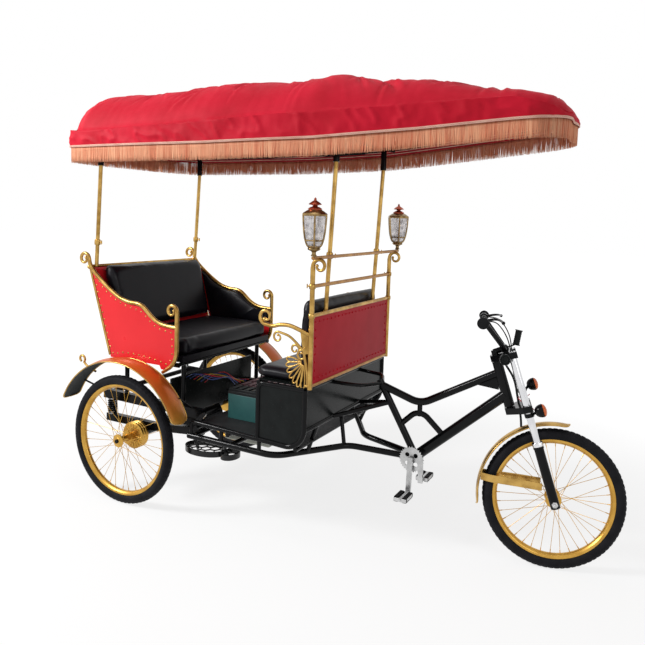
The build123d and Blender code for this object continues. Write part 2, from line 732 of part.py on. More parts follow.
# Canopy frame: a rim inside the valance, bows that carry the cloth and sleeves on the posts
rim_radius = 8.0
rim_inset = cloth + rim_radius + 4.0
rim_rise = 24.0
rim_end_gap = 2 * rim_radius
bow_inset = cloth + rim_radius + seat_gap
posts = (
    # x and y at the foot, height of the foot, x and y at the sleeve, top of the sleeve
    (-284.0, 396.0, 1206.0, -253.0, 396.0, 1852.0),
    (1047.0, 257.0, front_panel_top_z, 1082.0, 262.0, 1874.0),
)
sleeve_length = 112.0
with BuildPart() as canopy_frame:
    runs = []
    for side in (-1, 1):
        run = [place(x, side * (half - rim_inset), hem + rim_rise)
               for x, half, hem, _, _ in canopy_stations[1:-1]]
        run[0] += Vector(rim_end_gap, 0, 0)
        run[-1] -= Vector(rim_end_gap, 0, 0)
        runs.append(run)
    right, left = runs
    for run in runs:
        for a, b in zip(run[:-1], run[1:]):
            rod(a, b, rim_radius)
        with Locations(*[Location(p) for p in run]):
            Sphere(rim_radius)
    rod(left[0], right[0], rim_radius)
    rod(left[-1], right[-1], rim_radius)
    for x, half, hem, fold, crown in canopy_stations[3:6]:
        w = half - bow_inset
        plane = Plane(place(x, 0, 0), x_dir=(0, 1, 0), z_dir=(1, 0, 0))
        with BuildLine(plane) as bow:
            ThreePointArc((-w, fold - bow_inset), (0, crown - bow_inset), (w, fold - bow_inset))
        with BuildSketch(Plane(bow.line @ 0, z_dir=bow.line % 0)) as bow_section:
            Circle(rim_radius)
        sweep(bow_section.sketch, path=bow.line)
        for side in (-1, 1):
            rod(place(x, side * (w - 3.7), hem + rim_rise), place(x, side * w, fold - bow_inset),
                rim_radius)
            with Locations(Location(place(x, side * w, fold - bow_inset))):
                Sphere(rim_radius)
    for _, _, _, x, y, top in posts:
        reach = 470 if x < 0 else 400
        for side in (-1, 1):
            rod(place(x, side * y, top - sleeve_length), place(x, side * y, top), sleeve_radius)
        rod(place(x, -reach, top), place(x, reach, top), rim_radius)
save(canopy_frame.part, "canopy_frame")

with BuildPart() as canopy_posts:
    for foot_x, foot_y, foot_z, x, y, top in posts:
        for side in (-1, 1):
            rod(place(foot_x, side * foot_y, foot_z), place(x, side * y, top - sleeve_length + 4),
                post_radius - 2)
            rod(place(foot_x + (20 if x > 0 else -17), side * foot_y, foot_z), place(foot_x,
                side * foot_y, foot_z), 7)
    cope(canopy_frame, front_rails, rear_rails, back_panel, front_panel)
save(canopy_posts.part, "canopy_posts")

# Handlebar first, because the stem is bored to it
crown_low = -crown_gap - crown_thickness
upper_crown = head_length + crown_gap
bar_clamp = upper_crown + 44
bar_x = 48.0
grip_x = -6.0
grip_z = bar_clamp + bar_rise
half_bar = bar_width / 2
bar_radius = 11.0
with BuildPart() as handlebar:
    tube([on_fork(grip_x, -half_bar + 2, grip_z), on_fork(grip_x, -125, grip_z),
          on_fork(bar_x, -45, bar_clamp), on_fork(bar_x, 45, bar_clamp),
          on_fork(grip_x, 125, grip_z), on_fork(grip_x, half_bar - 2, grip_z)], bar_radius,
         bend=40)
save(handlebar.part, "handlebar")

# Fork crowns with the steerer, the stem and its clamp
with BuildPart() as crowns:
    rod(on_fork(0, 0, crown_low), on_fork(0, 0, upper_crown + 48), steerer_radius)
    for z in (crown_low, upper_crown):
        with BuildSketch(Plane(on_fork(0, 0, z), x_dir=fork_plane.x_dir, z_dir=fork_plane.z_dir)):
            with BuildLine():
                Polyline((-24, -26), (-24, 26), (fork_rake - 20, leg_spread + 26),
                         (fork_rake + 22, leg_spread + 26), (fork_rake + 22, leg_spread - 22),
                         (fork_rake - 4, 20), (fork_rake - 4, -20),
                         (fork_rake + 22, -leg_spread + 22), (fork_rake + 22, -leg_spread - 26),
                         (fork_rake - 20, -leg_spread - 26), close=True)
            make_face()
            for side in (-1, 1):
                with Locations((fork_rake, side * leg_spread)):
                    Circle(stanchion_radius, mode=Mode.SUBTRACT)
        extrude(amount=crown_thickness)
    rod(on_fork(-4, 0, bar_clamp - 4), on_fork(bar_x, 0, bar_clamp), 13)
    rod(on_fork(bar_x, -22, bar_clamp), on_fork(bar_x, 22, bar_clamp), 19)
    cope(handlebar)
save(crowns.part, "fork_crowns")

leg_top = -hub_drop + lower_leg_length
with BuildPart() as stanchions:
    for side in (-1, 1):
        y = side * leg_spread
        rod(on_fork(fork_rake, y, leg_top - 40), on_fork(fork_rake, y, upper_crown
            + crown_thickness), stanchion_radius)
save(stanchions.part, "fork_stanchions")

with BuildPart() as legs:
    for side in (-1, 1):
        y = side * leg_spread
        rod(on_fork(fork_rake, y, -hub_drop - 22), on_fork(fork_rake, y, leg_top),
            lower_leg_radius)
        rod(on_fork(fork_rake, y, leg_top - 10), on_fork(fork_rake, y, leg_top + 8),
            lower_leg_radius + 2)
    rod(front_hub - front_axle_dir * (leg_spread + 32), front_hub + front_axle_dir
        * (leg_spread + 32), front_axle_radius)
    cope(stanchions)
save(legs.part, "fork_legs")

# Grips, levers, horn and turn lamps
with BuildPart() as grips:
    for side in (-1, 1):
        end = side * half_bar
        begin = side * (half_bar - grip_length)
        rod(on_fork(grip_x, begin, grip_z), on_fork(grip_x, end, grip_z), grip_radius)
        rod(on_fork(grip_x, end - side * 2, grip_z), on_fork(grip_x, end + side * 4, grip_z), 24)
    cope(handlebar)
save(grips.part, "grips")

with BuildPart() as levers:
    for side in (-1, 1):
        y = side * (half_bar - grip_length - 14)
        rod(on_fork(grip_x, y - 12, grip_z), on_fork(grip_x, y + 12, grip_z), 18)
        tube([on_fork(grip_x + 12, y, grip_z), on_fork(grip_x + 60, y + side * 18, grip_z - 8),
              on_fork(grip_x + 80, side * (half_bar - 24), grip_z - 22)], 5.5, bend=20)
    cope(handlebar, grips)
save(levers.part, "brake_levers")

with BuildPart() as horn:
    rod(on_fork(38, -92, upper_crown + 8), on_fork(38, -128, upper_crown + 8), 24)
    box_bar(on_fork(60, -94, upper_crown + 8), on_fork(60, -40, upper_crown + 8), 10, 14)
    rod(on_fork(100, 0, bar_clamp + 2), on_fork(132, 0, bar_clamp + 64), 17)
    rod(on_fork(bar_x, 0, bar_clamp), on_fork(104, 0, bar_clamp + 6), 4)
    cope(crowns, stanchions, handlebar)
save(horn.part, "horn")

# Turn lamps clamped to the stanchions, the left one higher: side, clamp, lamp on the fork
turn_lamps = ((-1, -46.0, -34.0), (1, 44.0, 54.0))
lamp_start = fork_rake + 26.0
lamp_reach = fork_rake + 62.0
with BuildPart() as lamp_bodies:
    for side, clamp, height in turn_lamps:
        y = side * leg_spread
        rod(on_fork(fork_rake, y, clamp - 9), on_fork(fork_rake, y, clamp + 9),
            stanchion_radius + 5)
        rod(on_fork(fork_rake + 10, y, clamp), on_fork(lamp_start + 6, y + side * 20, height), 6)
        rod(on_fork(lamp_start, y + side * 24, height), on_fork(lamp_reach, y + side * 24,
            height), 29)
    cope(stanchions)
save(lamp_bodies.part, "lamp_bodies")

with BuildPart() as lamp_lenses:
    for side, clamp, height in turn_lamps:
        y = side * (leg_spread + 24)
        rod(on_fork(lamp_reach, y, height), on_fork(lamp_reach + 16, y, height), 29)
save(lamp_lenses.part, "lamp_lenses")

with BuildPart() as front_mudguard:
    guard_radius = 336.0
    half = 33.0
    first = radians(61)
    x_dir = fork_plane.x_dir * cos(first) + fork_plane.z_dir * sin(first)
    with BuildSketch(Plane(front_hub, x_dir=x_dir, z_dir=x_dir.cross(front_axle_dir))):
        with BuildLine():
            ThreePointArc((guard_radius - 9, -half), (guard_radius, 0), (guard_radius - 9, half))
            Line((guard_radius - 9, half), (guard_radius - 11, half))
            ThreePointArc((guard_radius - 11, half), (guard_radius - 2, 0),
                          (guard_radius - 11, -half))
            Line((guard_radius - 11, -half), (guard_radius - 9, -half))
        make_face()
    revolve(axis=Axis(front_hub, front_axle_dir * -1), revolution_arc=112)
    for side in (-1, 1):
        for angle in (149, 100):
            a = radians(angle)
            far = guard_radius - 10
            rod(front_hub + (fork_plane.x_dir * cos(a) + fork_plane.z_dir * sin(a)) * far
                + front_axle_dir * (side * (half - 2)),
                on_fork(fork_rake, side * (leg_spread - 8), -hub_drop + 84), 4)
    cope(legs, stanchions)
save(front_mudguard.part, "front_mudguard")

# Cranks, both hanging, with the chainring on the right
with BuildPart() as crankset:
    rod(crank_centre - Vector(0, 78, 0), crank_centre + Vector(0, 78, 0), spindle_radius)
    ring_plane = Plane(crank_centre - Vector(0, 52, 0), z_dir=(0, -1, 0))
    with BuildSketch(ring_plane):
        Circle(chainring_radius - 4)
        with PolarLocations(chainring_radius - 3, 30):
            RegularPolygon(5, 3)
        with PolarLocations(30, 4, start_angle=45):
            Circle(11, mode=Mode.SUBTRACT)
    extrude(amount=4)
    for side in (-1, 1):
        top = crank_centre + Vector(0, side * 70, 0)
        foot = crank_centre + Vector(0, side * 82, -crank_length)
        box_bar(top + Vector(0, 0, 14), foot - Vector(0, 0, 14), 12, 24)
        rod(foot, foot + Vector(0, side * 108, 0), pedal_axle_radius)
save(crankset.part, "crankset")

for side, name in ((-1, "right"), (1, "left")):
    with BuildPart() as pedal:
        centre = crank_centre + Vector(0, side * pedal_reach, -crank_length)
        with Locations(Location(centre)):
            Box(64, 88, 24)
        fillet(pedal.edges().filter_by(Axis.Y), 5)
        with BuildSketch(Plane(centre - Vector(0, 60, 0), z_dir=(0, 1, 0))):
            Circle(pedal_axle_radius + bearing_clearance)
        extrude(amount=120, mode=Mode.SUBTRACT)
    save(pedal.part, f"pedal_{name}")

print("origin ahead of the rear axle", round(origin_x, 3))
print("front hub", front_hub, "axle", front_axle_dir, "steering", fork_plane.z_dir)
print("crank centre", crank_centre)
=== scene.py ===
"""Dresses the passenger pedicab: cloth, cushions, gilt scrolls, wheels, lanterns and finishes."""

import logging
import math
from dataclasses import dataclass, field
from enum import Enum

import bmesh
import bpy
import numpy as np
from mathutils import Matrix, Vector


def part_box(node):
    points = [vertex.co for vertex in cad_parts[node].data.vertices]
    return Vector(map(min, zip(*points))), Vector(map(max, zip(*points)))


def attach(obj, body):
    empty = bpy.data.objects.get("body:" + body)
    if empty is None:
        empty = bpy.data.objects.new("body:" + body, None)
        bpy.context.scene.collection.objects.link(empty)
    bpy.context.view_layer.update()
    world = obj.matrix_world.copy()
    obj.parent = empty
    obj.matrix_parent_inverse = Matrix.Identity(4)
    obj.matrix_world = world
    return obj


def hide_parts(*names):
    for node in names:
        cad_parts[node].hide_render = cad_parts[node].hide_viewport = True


Array = np.ndarray
Colour = tuple[float, float, float]

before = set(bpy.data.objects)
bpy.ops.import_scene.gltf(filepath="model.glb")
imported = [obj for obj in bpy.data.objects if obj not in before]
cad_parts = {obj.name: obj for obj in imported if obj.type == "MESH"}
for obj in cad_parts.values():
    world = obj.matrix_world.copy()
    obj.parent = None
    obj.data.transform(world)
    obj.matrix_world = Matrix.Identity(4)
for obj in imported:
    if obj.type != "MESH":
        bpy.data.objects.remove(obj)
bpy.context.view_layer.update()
LOG = logging.getLogger("pedicab")
ORIGIN_X = 0.958699
REAR_R = 0.3335
FRONT_R = 0.3075
TRACK_HALF = 0.4805
FORWARD = np.array([1.0, 0.0, 0.0])
LEFT = np.array([0.0, 1.0, 0.0])
UP = np.array([0.0, 0.0, 1.0])


def at(x: float, y: float, z: float) -> Array:
    """A point counted forward from the rear axle, in the model's frame."""
    return np.array([x - ORIGIN_X, y, z])


class Body(Enum):
    """The moving bodies that pieces ride on."""

    CHASSIS = "chassis"
    FORK = "fork"
    FRONT_WHEEL = "front_wheel"
    REAR_RIGHT = "rear_wheel_right"
    REAR_LEFT = "rear_wheel_left"
    CRANK = "crank"
    PEDAL_RIGHT = "pedal_right"
    PEDAL_LEFT = "pedal_left"


class Grain(Enum):
    """The fine relief of a finish."""

    SMOOTH = "smooth"
    PEEL = "peel"
    CAST = "cast"
    HIDE = "hide"
    WEAVE = "weave"
    STRANDS = "strands"
    MOULDED = "moulded"


def node(tree: bpy.types.NodeTree, kind: str, inputs: dict | None = None,
         **settings: str) -> bpy.types.Node:
    """Adds a shader node.

    Args:
        tree: the tree that takes it.
        kind: its type, without the words ShaderNode.
        inputs: for each input's name or number, a value or the socket that feeds it.
        settings: its own options.

    Returns:
        The node.
    """
    made = tree.nodes.new("ShaderNode" + kind)
    for key, value in settings.items():
        setattr(made, key, value)
    for key, value in (inputs or {}).items():
        if isinstance(value, bpy.types.NodeSocket):
            tree.links.new(value, made.inputs[key])
        else:
            made.inputs[key].default_value = value
    return made


@dataclass(frozen=True)
class Finish:
    """A procedural finish: two colours that mottle, a roughness range and a fine relief."""

    name: str
    colour: Colour
    second: Colour
    rough: tuple[float, float] = (0.35, 0.5)
    metal: float = 0.0
    coat: float = 0.0
    sheen: float = 0.0
    grain: Grain = Grain.SMOOTH
    grain_size: float = 0.002
    relief: float = 0.0003
    patch: float = 0.06
    height_fade: tuple[float, float] | None = None
    clear: float = 0.0
    shine: float = 0.5

    def material(self) -> bpy.types.Material:
        """Makes the finish's node material, once.

        Returns:
            The material, shared by every piece with this finish.
        """
        found = bpy.data.materials.get(self.name)
        if found:
            return found
        made = bpy.data.materials.new(self.name)
        made.use_nodes = True
        tree = made.node_tree
        shader = tree.nodes["Principled BSDF"]
        coords = node(tree, "TexCoord").outputs["Object"]
        mix = node(tree, "Mix", data_type="RGBA")
        mix.inputs["A"].default_value = (*self.colour, 1.0)
        mix.inputs["B"].default_value = (*self.second, 1.0)
        tree.links.new(self.amount(tree, coords), mix.inputs["Factor"])
        tree.links.new(mix.outputs["Result"], shader.inputs["Base Color"])
        streaks = node(tree, "TexNoise", {"Scale": 4.0 / self.patch, "Detail": 6.0,
                                          "Vector": coords})
        rough = node(tree, "MapRange", {"To Min": self.rough[0], "To Max": self.rough[1],
                                        "Value": streaks.outputs["Fac"]})
        tree.links.new(rough.outputs["Result"], shader.inputs["Roughness"])
        for name, value in (("Metallic", self.metal), ("Specular IOR Level", self.shine),
                            ("Coat Weight", self.coat), ("Coat Roughness", 0.12),
                            ("Sheen Weight", self.sheen), ("Transmission Weight", self.clear)):
            shader.inputs[name].default_value = value
        if self.grain is not Grain.SMOOTH:
            bump = node(tree, "Bump", {"Strength": 0.6, "Distance": self.relief,
                                       "Height": self.height(tree, coords)})
            tree.links.new(bump.outputs["Normal"], shader.inputs["Normal"])
        return made

    def amount(self, tree: bpy.types.NodeTree,
               coords: bpy.types.NodeSocket) -> bpy.types.NodeSocket:
        """Makes the second colour's share: by height, by strand or in patches.

        Args:
            tree: the material's nodes.
            coords: the socket with the place on the piece.

        Returns:
            The socket that gives the share.
        """
        if self.height_fade:
            split = node(tree, "SeparateXYZ", {"Vector": coords})
            return node(tree, "MapRange", {"Value": split.outputs["Z"],
                                           "From Min": self.height_fade[0],
                                           "From Max": self.height_fade[1]},
                        interpolation_type="SMOOTHSTEP").outputs["Result"]
        if self.grain is Grain.STRANDS:
            uv = node(tree, "UVMap").outputs["UV"]
            return node(tree, "SeparateXYZ", {"Vector": uv}).outputs["X"]
        patches = node(tree, "TexNoise", {"Scale": 1.0 / self.patch, "Detail": 5.0,
                                          "Vector": coords})
        return node(tree, "MapRange", {"From Min": 0.38, "From Max": 0.66,
                                       "Value": patches.outputs["Fac"]}).outputs["Result"]

    def height(self, tree: bpy.types.NodeTree,
               coords: bpy.types.NodeSocket) -> bpy.types.NodeSocket:
        """Makes the relief's height.

        Args:
            tree: the material's nodes.
            coords: the socket with the place on the piece.

        Returns:
            The socket that gives the height.
        """
        if self.grain is Grain.HIDE:
            return node(tree, "TexVoronoi", {"Scale": 1.0 / self.grain_size, "Vector": coords},
                        feature="DISTANCE_TO_EDGE").outputs["Distance"]
        if self.grain is Grain.WEAVE:
            waves = [node(tree, "TexWave", {"Scale": 0.314 / self.grain_size,
                                            "Distortion": 0.6, "Vector": coords},
                          bands_direction=way).outputs["Fac"] for way in ("X", "Y")]
            return node(tree, "Math", {0: waves[0], 1: waves[1]},
                        operation="MULTIPLY").outputs["Value"]
        return node(tree, "TexNoise", {"Scale": 1.0 / self.grain_size, "Vector": coords,
                                       "Detail": 4.0 if self.grain is Grain.CAST else 2.0}
                    ).outputs["Fac"]


BLACK = Finish("black_enamel", (0.0035, 0.0035, 0.0042), (0.006, 0.006, 0.0068), (0.10, 0.22),
               coat=0.05, grain=Grain.PEEL, grain_size=0.004, relief=0.00008, shine=0.10)
PANEL_BLACK = Finish("black_panel_board", (0.0065, 0.0078, 0.0078), (0.010, 0.012, 0.012),
                     (0.18, 0.32), grain=Grain.PEEL, grain_size=0.006, relief=0.0001, shine=0.11)
RED = Finish("red_panel_enamel", (0.84, 0.020, 0.028), (0.78, 0.016, 0.023), (0.24, 0.36),
             coat=0.1, grain=Grain.PEEL, grain_size=0.008, relief=0.00008, patch=0.25,
             shine=0.25)
# The side panels' red, painted darker for the front panel and its nails: painted shade for the
# forward face.
SHADED_RED = Finish("red_panel_enamel_painted_shade", (0.55, 0.010, 0.024), (0.46, 0.008, 0.018),
                  (0.30, 0.42), grain=Grain.PEEL, grain_size=0.008, relief=0.00008,
                  patch=0.25, shine=0.08)
GILT = Finish("gilt_paint", (0.56, 0.35, 0.10), (0.32, 0.18, 0.045), (0.22, 0.38), metal=0.95,
              grain=Grain.PEEL, grain_size=0.005, relief=0.0001, patch=0.05)
OLD_GILT = Finish("deep_gilt_rails", (0.46, 0.24, 0.07), (0.32, 0.15, 0.045), (0.26, 0.44),
                  metal=0.8, grain=Grain.PEEL, grain_size=0.005, relief=0.0001)
RIM_GOLD = Finish("rim_gold", (0.62, 0.36, 0.07), (0.50, 0.27, 0.045), (0.26, 0.4), metal=0.8,
                  grain=Grain.PEEL, grain_size=0.004, relief=0.00006)
ORANGE = Finish("mudguard_copper_gold", (0.56, 0.30, 0.045), (0.62, 0.13, 0.016), (0.26, 0.38),
                metal=0.3, coat=0.1, height_fade=(0.42, 0.66), grain=Grain.PEEL,
                grain_size=0.006, relief=0.00008, shine=0.3)
UNDERSIDE = Finish("mudguard_underside", (0.008, 0.012, 0.012), (0.014, 0.018, 0.018),
                   (0.4, 0.6), grain=Grain.CAST, grain_size=0.006, relief=0.0002, shine=0.2)
RUBBER = Finish("tyre_rubber", (0.0105, 0.0105, 0.0125), (0.018, 0.018, 0.021), (0.5, 0.7),
                grain=Grain.MOULDED, grain_size=0.0016, relief=0.00015, shine=0.07)
GRIP_RUBBER = Finish("grip_rubber", (0.008, 0.008, 0.009), (0.014, 0.014, 0.015), (0.5, 0.7),
                     grain=Grain.MOULDED, grain_size=0.0012, relief=0.0002, shine=0.09)
VINYL = Finish("black_vinyl", (0.0060, 0.0058, 0.0085), (0.0105, 0.0095, 0.0125), (0.26, 0.4),
               grain=Grain.HIDE, grain_size=0.0022, relief=0.00012, patch=0.18, shine=0.16)
CLOTH = Finish("crimson_cloth", (0.62, 0.010, 0.032), (0.50, 0.007, 0.022), (0.54, 0.68),
               sheen=0.0, grain=Grain.WEAVE, grain_size=0.0011, relief=0.00015, patch=0.2,
               shine=0.12)
LINING = Finish("red_lining", (0.50, 0.010, 0.022), (0.42, 0.008, 0.018), (0.6, 0.8),
                sheen=0.05, grain=Grain.WEAVE, grain_size=0.0011, relief=0.0002, shine=0.2)
TASSEL = Finish("tassel_silk", (0.72, 0.21, 0.10), (1.0, 0.56, 0.33), (0.45, 0.65),
                sheen=0.1, grain=Grain.STRANDS, grain_size=0.0012, relief=0.0002, shine=0.3)
BRAID = Finish("braid_silk", (0.90, 0.58, 0.46), (0.78, 0.44, 0.34), (0.5, 0.7), sheen=0.1,
               grain=Grain.WEAVE, grain_size=0.0012, relief=0.0002, shine=0.3)
CHROME = Finish("polished_chrome", (0.72, 0.72, 0.73), (0.62, 0.62, 0.64), (0.05, 0.14),
                metal=1.0, grain=Grain.PEEL, grain_size=0.01, relief=0.00003)
ALLOY = Finish("silver_alloy", (0.56, 0.56, 0.56), (0.42, 0.42, 0.42), (0.22, 0.4), metal=0.9,
               grain=Grain.CAST, grain_size=0.003, relief=0.00012)
BRASS = Finish("lantern_brass", (0.36, 0.24, 0.10), (0.16, 0.10, 0.04), (0.2, 0.38), metal=0.9,
               grain=Grain.CAST, grain_size=0.004, relief=0.00015, patch=0.02)
COPPER = Finish("lantern_roof_copper", (0.42, 0.075, 0.03), (0.28, 0.06, 0.025), (0.18, 0.34),
                metal=0.8, coat=0.1, patch=0.02)
AMBER = Finish("amber_lens", (0.95, 0.20, 0.008), (0.88, 0.13, 0.005), (0.06, 0.14), coat=0.2,
               clear=0.15, shine=0.4)
WHITE_STRIP = Finish("white_reflector", (0.75, 0.75, 0.74), (0.62, 0.62, 0.62), (0.15, 0.3),
                     grain=Grain.HIDE, grain_size=0.003, relief=0.0002)
GREEN_CASE = Finish("battery_case", (0.020, 0.105, 0.105), (0.026, 0.125, 0.120), (0.38, 0.55),
                    grain=Grain.MOULDED, grain_size=0.0025, relief=0.0001)
LID = Finish("battery_lid", (0.007, 0.009, 0.010), (0.012, 0.014, 0.015), (0.4, 0.55),
             grain=Grain.MOULDED, grain_size=0.002, relief=0.0001, shine=0.2)
MAUVE_LID = Finish("battery_lid_mauve", (0.15, 0.07, 0.085), (0.11, 0.05, 0.065), (0.4, 0.55),
                   grain=Grain.MOULDED, grain_size=0.002, relief=0.0001)
FLOOR_MAT = Finish("floor_mat", (0.014, 0.014, 0.015), (0.026, 0.026, 0.027), (0.5, 0.7),
                   grain=Grain.CAST, grain_size=0.006, relief=0.0008, shine=0.25)
# Pale grey-green of the ground seen under the floor, with the vehicle's shadow painted into it.
GROUND_SHADOW_PLATE = Finish("painted_ground_shadow", (0.50, 0.52, 0.46), (0.42, 0.44, 0.38), (0.45, 0.6))
CAST_BLACK = Finish("cast_black", (0.004, 0.004, 0.005), (0.009, 0.009, 0.009), (0.2, 0.32),
                    coat=0.1, grain=Grain.CAST, grain_size=0.004, relief=0.0002, shine=0.25)
RED_WIRE = Finish("red_wire", (0.62, 0.012, 0.03), (0.5, 0.01, 0.02), (0.35, 0.45))
BLUE_WIRE = Finish("blue_wire", (0.020, 0.050, 0.24), (0.015, 0.035, 0.16), (0.35, 0.45))
YELLOW_WIRE = Finish("yellow_wire", (0.62, 0.42, 0.04), (0.5, 0.33, 0.03), (0.35, 0.45))


def quads(index: Array) -> Array:
    """The quads between neighbouring numbers of a grid, one row each."""
    corners = (index[:-1, :-1], index[:-1, 1:], index[1:, 1:], index[1:, :-1])
    return np.stack(corners, -1).reshape(-1, 4)


def ring_quads(rows: int, sides: int) -> list[list[int]]:
    """The quads of a small tube whose points are numbered ring by ring."""
    index = np.arange(rows * sides).reshape(rows, sides)
    return quads(np.hstack([index, index[:, :1]])).tolist()


class Shape:
    """Collects surfaces as arrays and makes one mesh object of them."""

    def __init__(self, name: str, *finishes: Finish) -> None:
        """Starts an empty shape.

        Args:
            name: the piece's name.
            finishes: its finishes, in the order of its material slots.
        """
        self.name = name
        self.finishes = finishes
        self.points: list[Array] = []
        self.faces: list[list[int]] = []
        self.slots: list[int] = []
        self.uvs: list[Array] = []
        self.count = 0

    def add(self, points: Array, faces: list[list[int]], slot: int = 0,
            uv: Array | None = None) -> None:
        """Adds points and the faces between them.

        Args:
            points: the points, one row each.
            faces: rows of point numbers, counted within points.
            slot: the finish's place in the list.
            uv: the place on the surface of each point.
        """
        self.points.append(points.reshape(-1, 3))
        self.faces += [[i + self.count for i in face] for face in faces]
        self.slots += [slot] * len(faces)
        self.uvs.append(np.zeros((len(self.points[-1]), 2)) if uv is None else uv.reshape(-1, 2))
        self.count += len(self.points[-1])

    def grid(self, points: Array, round_u: bool = False, round_v: bool = False, slot: int = 0,
             flip: bool = False, uv: Array | None = None, caps: bool = False) -> None:
        """Adds a grid surface: a quad between each point, the next along and the next across.

        Args:
            points: rows by columns by 3.
            round_u: joins the last row to the first.
            round_v: joins the last column to the first.
            slot: the finish's place in the list.
            flip: turns the faces over.
            uv: rows by columns by 2.
            caps: closes the first and last rows.
        """
        rows, columns = points.shape[:2]
        index = np.arange(rows * columns).reshape(rows, columns)
        if round_u:
            index = np.vstack([index, index[:1]])
        if round_v:
            index = np.hstack([index, index[:, :1]])
        faces = (quads(index)[:, ::-1] if flip else quads(index)).tolist()
        if caps:
            ends = [index[0, :columns][::-1].tolist(), index[-1, :columns].tolist()]
            faces += [end[::-1] for end in ends] if flip else ends
        self.add(points, faces, slot, uv)

    def tube(self, path: Array, radius: float | Array, sides: int = 12, closed: bool = False,
             slot: int = 0, normal: Array | None = None, flat: float = 1.0) -> None:
        """Adds a tube: circles of the given radius set square to a path.

        Args:
            path: the points of the centre line, one row each.
            radius: one radius, or one for each point.
            sides: the sides of each circle.
            closed: joins the end to the start.
            slot: the finish's place in the list.
            normal: a direction square to the path, or its own best plane's.
            flat: the circles' size along normal, as a share of their radius.
        """
        path = np.asarray(path, float)
        if closed:
            along = np.roll(path, -1, 0) - np.roll(path, 1, 0)
        else:
            along = np.gradient(path, axis=0)
        along /= np.linalg.norm(along, axis=1, keepdims=True)
        if normal is None:
            spread = path - path.mean(0)
            normal = np.linalg.svd(spread, full_matrices=False)[2][-1]
            if np.abs(along @ normal).max() > 0.95:
                normal = np.cross(along[0], (0.31, 0.53, 0.79))
        normal = np.broadcast_to(np.asarray(normal, float), path.shape)
        across = normal - along * (along * normal).sum(1, keepdims=True)
        across /= np.linalg.norm(across, axis=1, keepdims=True)
        beside = np.cross(along, across)
        turn = np.linspace(0, 2 * np.pi, sides, endpoint=False)
        size = np.broadcast_to(np.asarray(radius, float), (len(path),))[:, None, None]
        ring = (across[:, None] * (np.cos(turn) * flat)[None, :, None]
                + beside[:, None] * np.sin(turn)[None, :, None])
        self.grid(path[:, None] + ring * size, round_u=closed, round_v=True, slot=slot,
                  caps=not closed)

    def rod(self, low: Array, high: Array, radius: float, sides: int = 8, slot: int = 0) -> None:
        """Adds a straight round bar between two points."""
        self.tube(np.stack([low, high]), radius, sides, slot=slot)

    def lathe(self, profile: Array, centre: Array, axis: Array, sides: int = 48, slot: int = 0,
              start: float = 0.0, closed: bool = False) -> None:
        """Adds a turned form: a profile of radius and height carried round an axis.

        Args:
            profile: rows of radius and height along the axis.
            centre: the point at height 0.
            axis: the direction of the heights.
            sides: the steps round.
            slot: the finish's place in the list.
            start: the first step's angle.
            closed: joins the profile's end to its start.
        """
        profile = np.asarray(profile, float)
        axis = np.asarray(axis, float) / np.linalg.norm(axis)
        first = np.cross(axis, (0.0, 0.0, 1.0) if abs(axis[2]) < 0.9 else (0.0, -1.0, 0.0))
        first /= np.linalg.norm(first)
        second = np.cross(axis, first)
        turn = np.linspace(0, 2 * np.pi, sides, endpoint=False) + start
        around = np.cos(turn)[:, None] * first + np.sin(turn)[:, None] * second
        points = (centre + profile[:, 0][:, None, None] * around[None]
                  + profile[:, 1][:, None, None] * axis)
        self.grid(points, round_u=closed, round_v=True, slot=slot, caps=not closed)

    def bar(self, low: Array, high: Array, slot: int = 0) -> None:
        """Adds a box between two corners.

        Args:
            low: one corner.
            high: the corner across from it.
            slot: the finish's place in the list.
        """
        low, high = np.minimum(low, high), np.maximum(low, high)
        pick = np.array([[x, y, z] for x in (0, 1) for y in (0, 1) for z in (0, 1)])
        self.add(low + (high - low) * pick,
                 [[0, 1, 3, 2], [4, 6, 7, 5], [0, 4, 5, 1], [2, 3, 7, 6], [0, 2, 6, 4],
                  [1, 5, 7, 3]], slot)

    def copies(self, points: Array, faces: list[list[int]], places: Array | None = None,
               slot: int = 0, uv: Array | None = None) -> None:
        """Adds one small form at many places.

        Args:
            points: the form's points, or without places, places by points by 3.
            faces: the form's faces.
            places: where each copy goes.
            slot: the finish's place in the list.
            uv: places by points by 2.
        """
        if places is not None:
            points = places[:, None] + points[None]
        count, each = points.shape[:2]
        table = np.arange(count)[:, None, None] * each
        for size in {len(face) for face in faces}:
            some = np.array([face for face in faces if len(face) == size])
            self.faces += (table + some[None] + self.count).reshape(-1, size).tolist()
            self.slots += [slot] * (count * len(some))
        self.points.append(points.reshape(-1, 3))
        self.uvs.append(np.zeros((count * each, 2)) if uv is None else uv.reshape(-1, 2))
        self.count += count * each

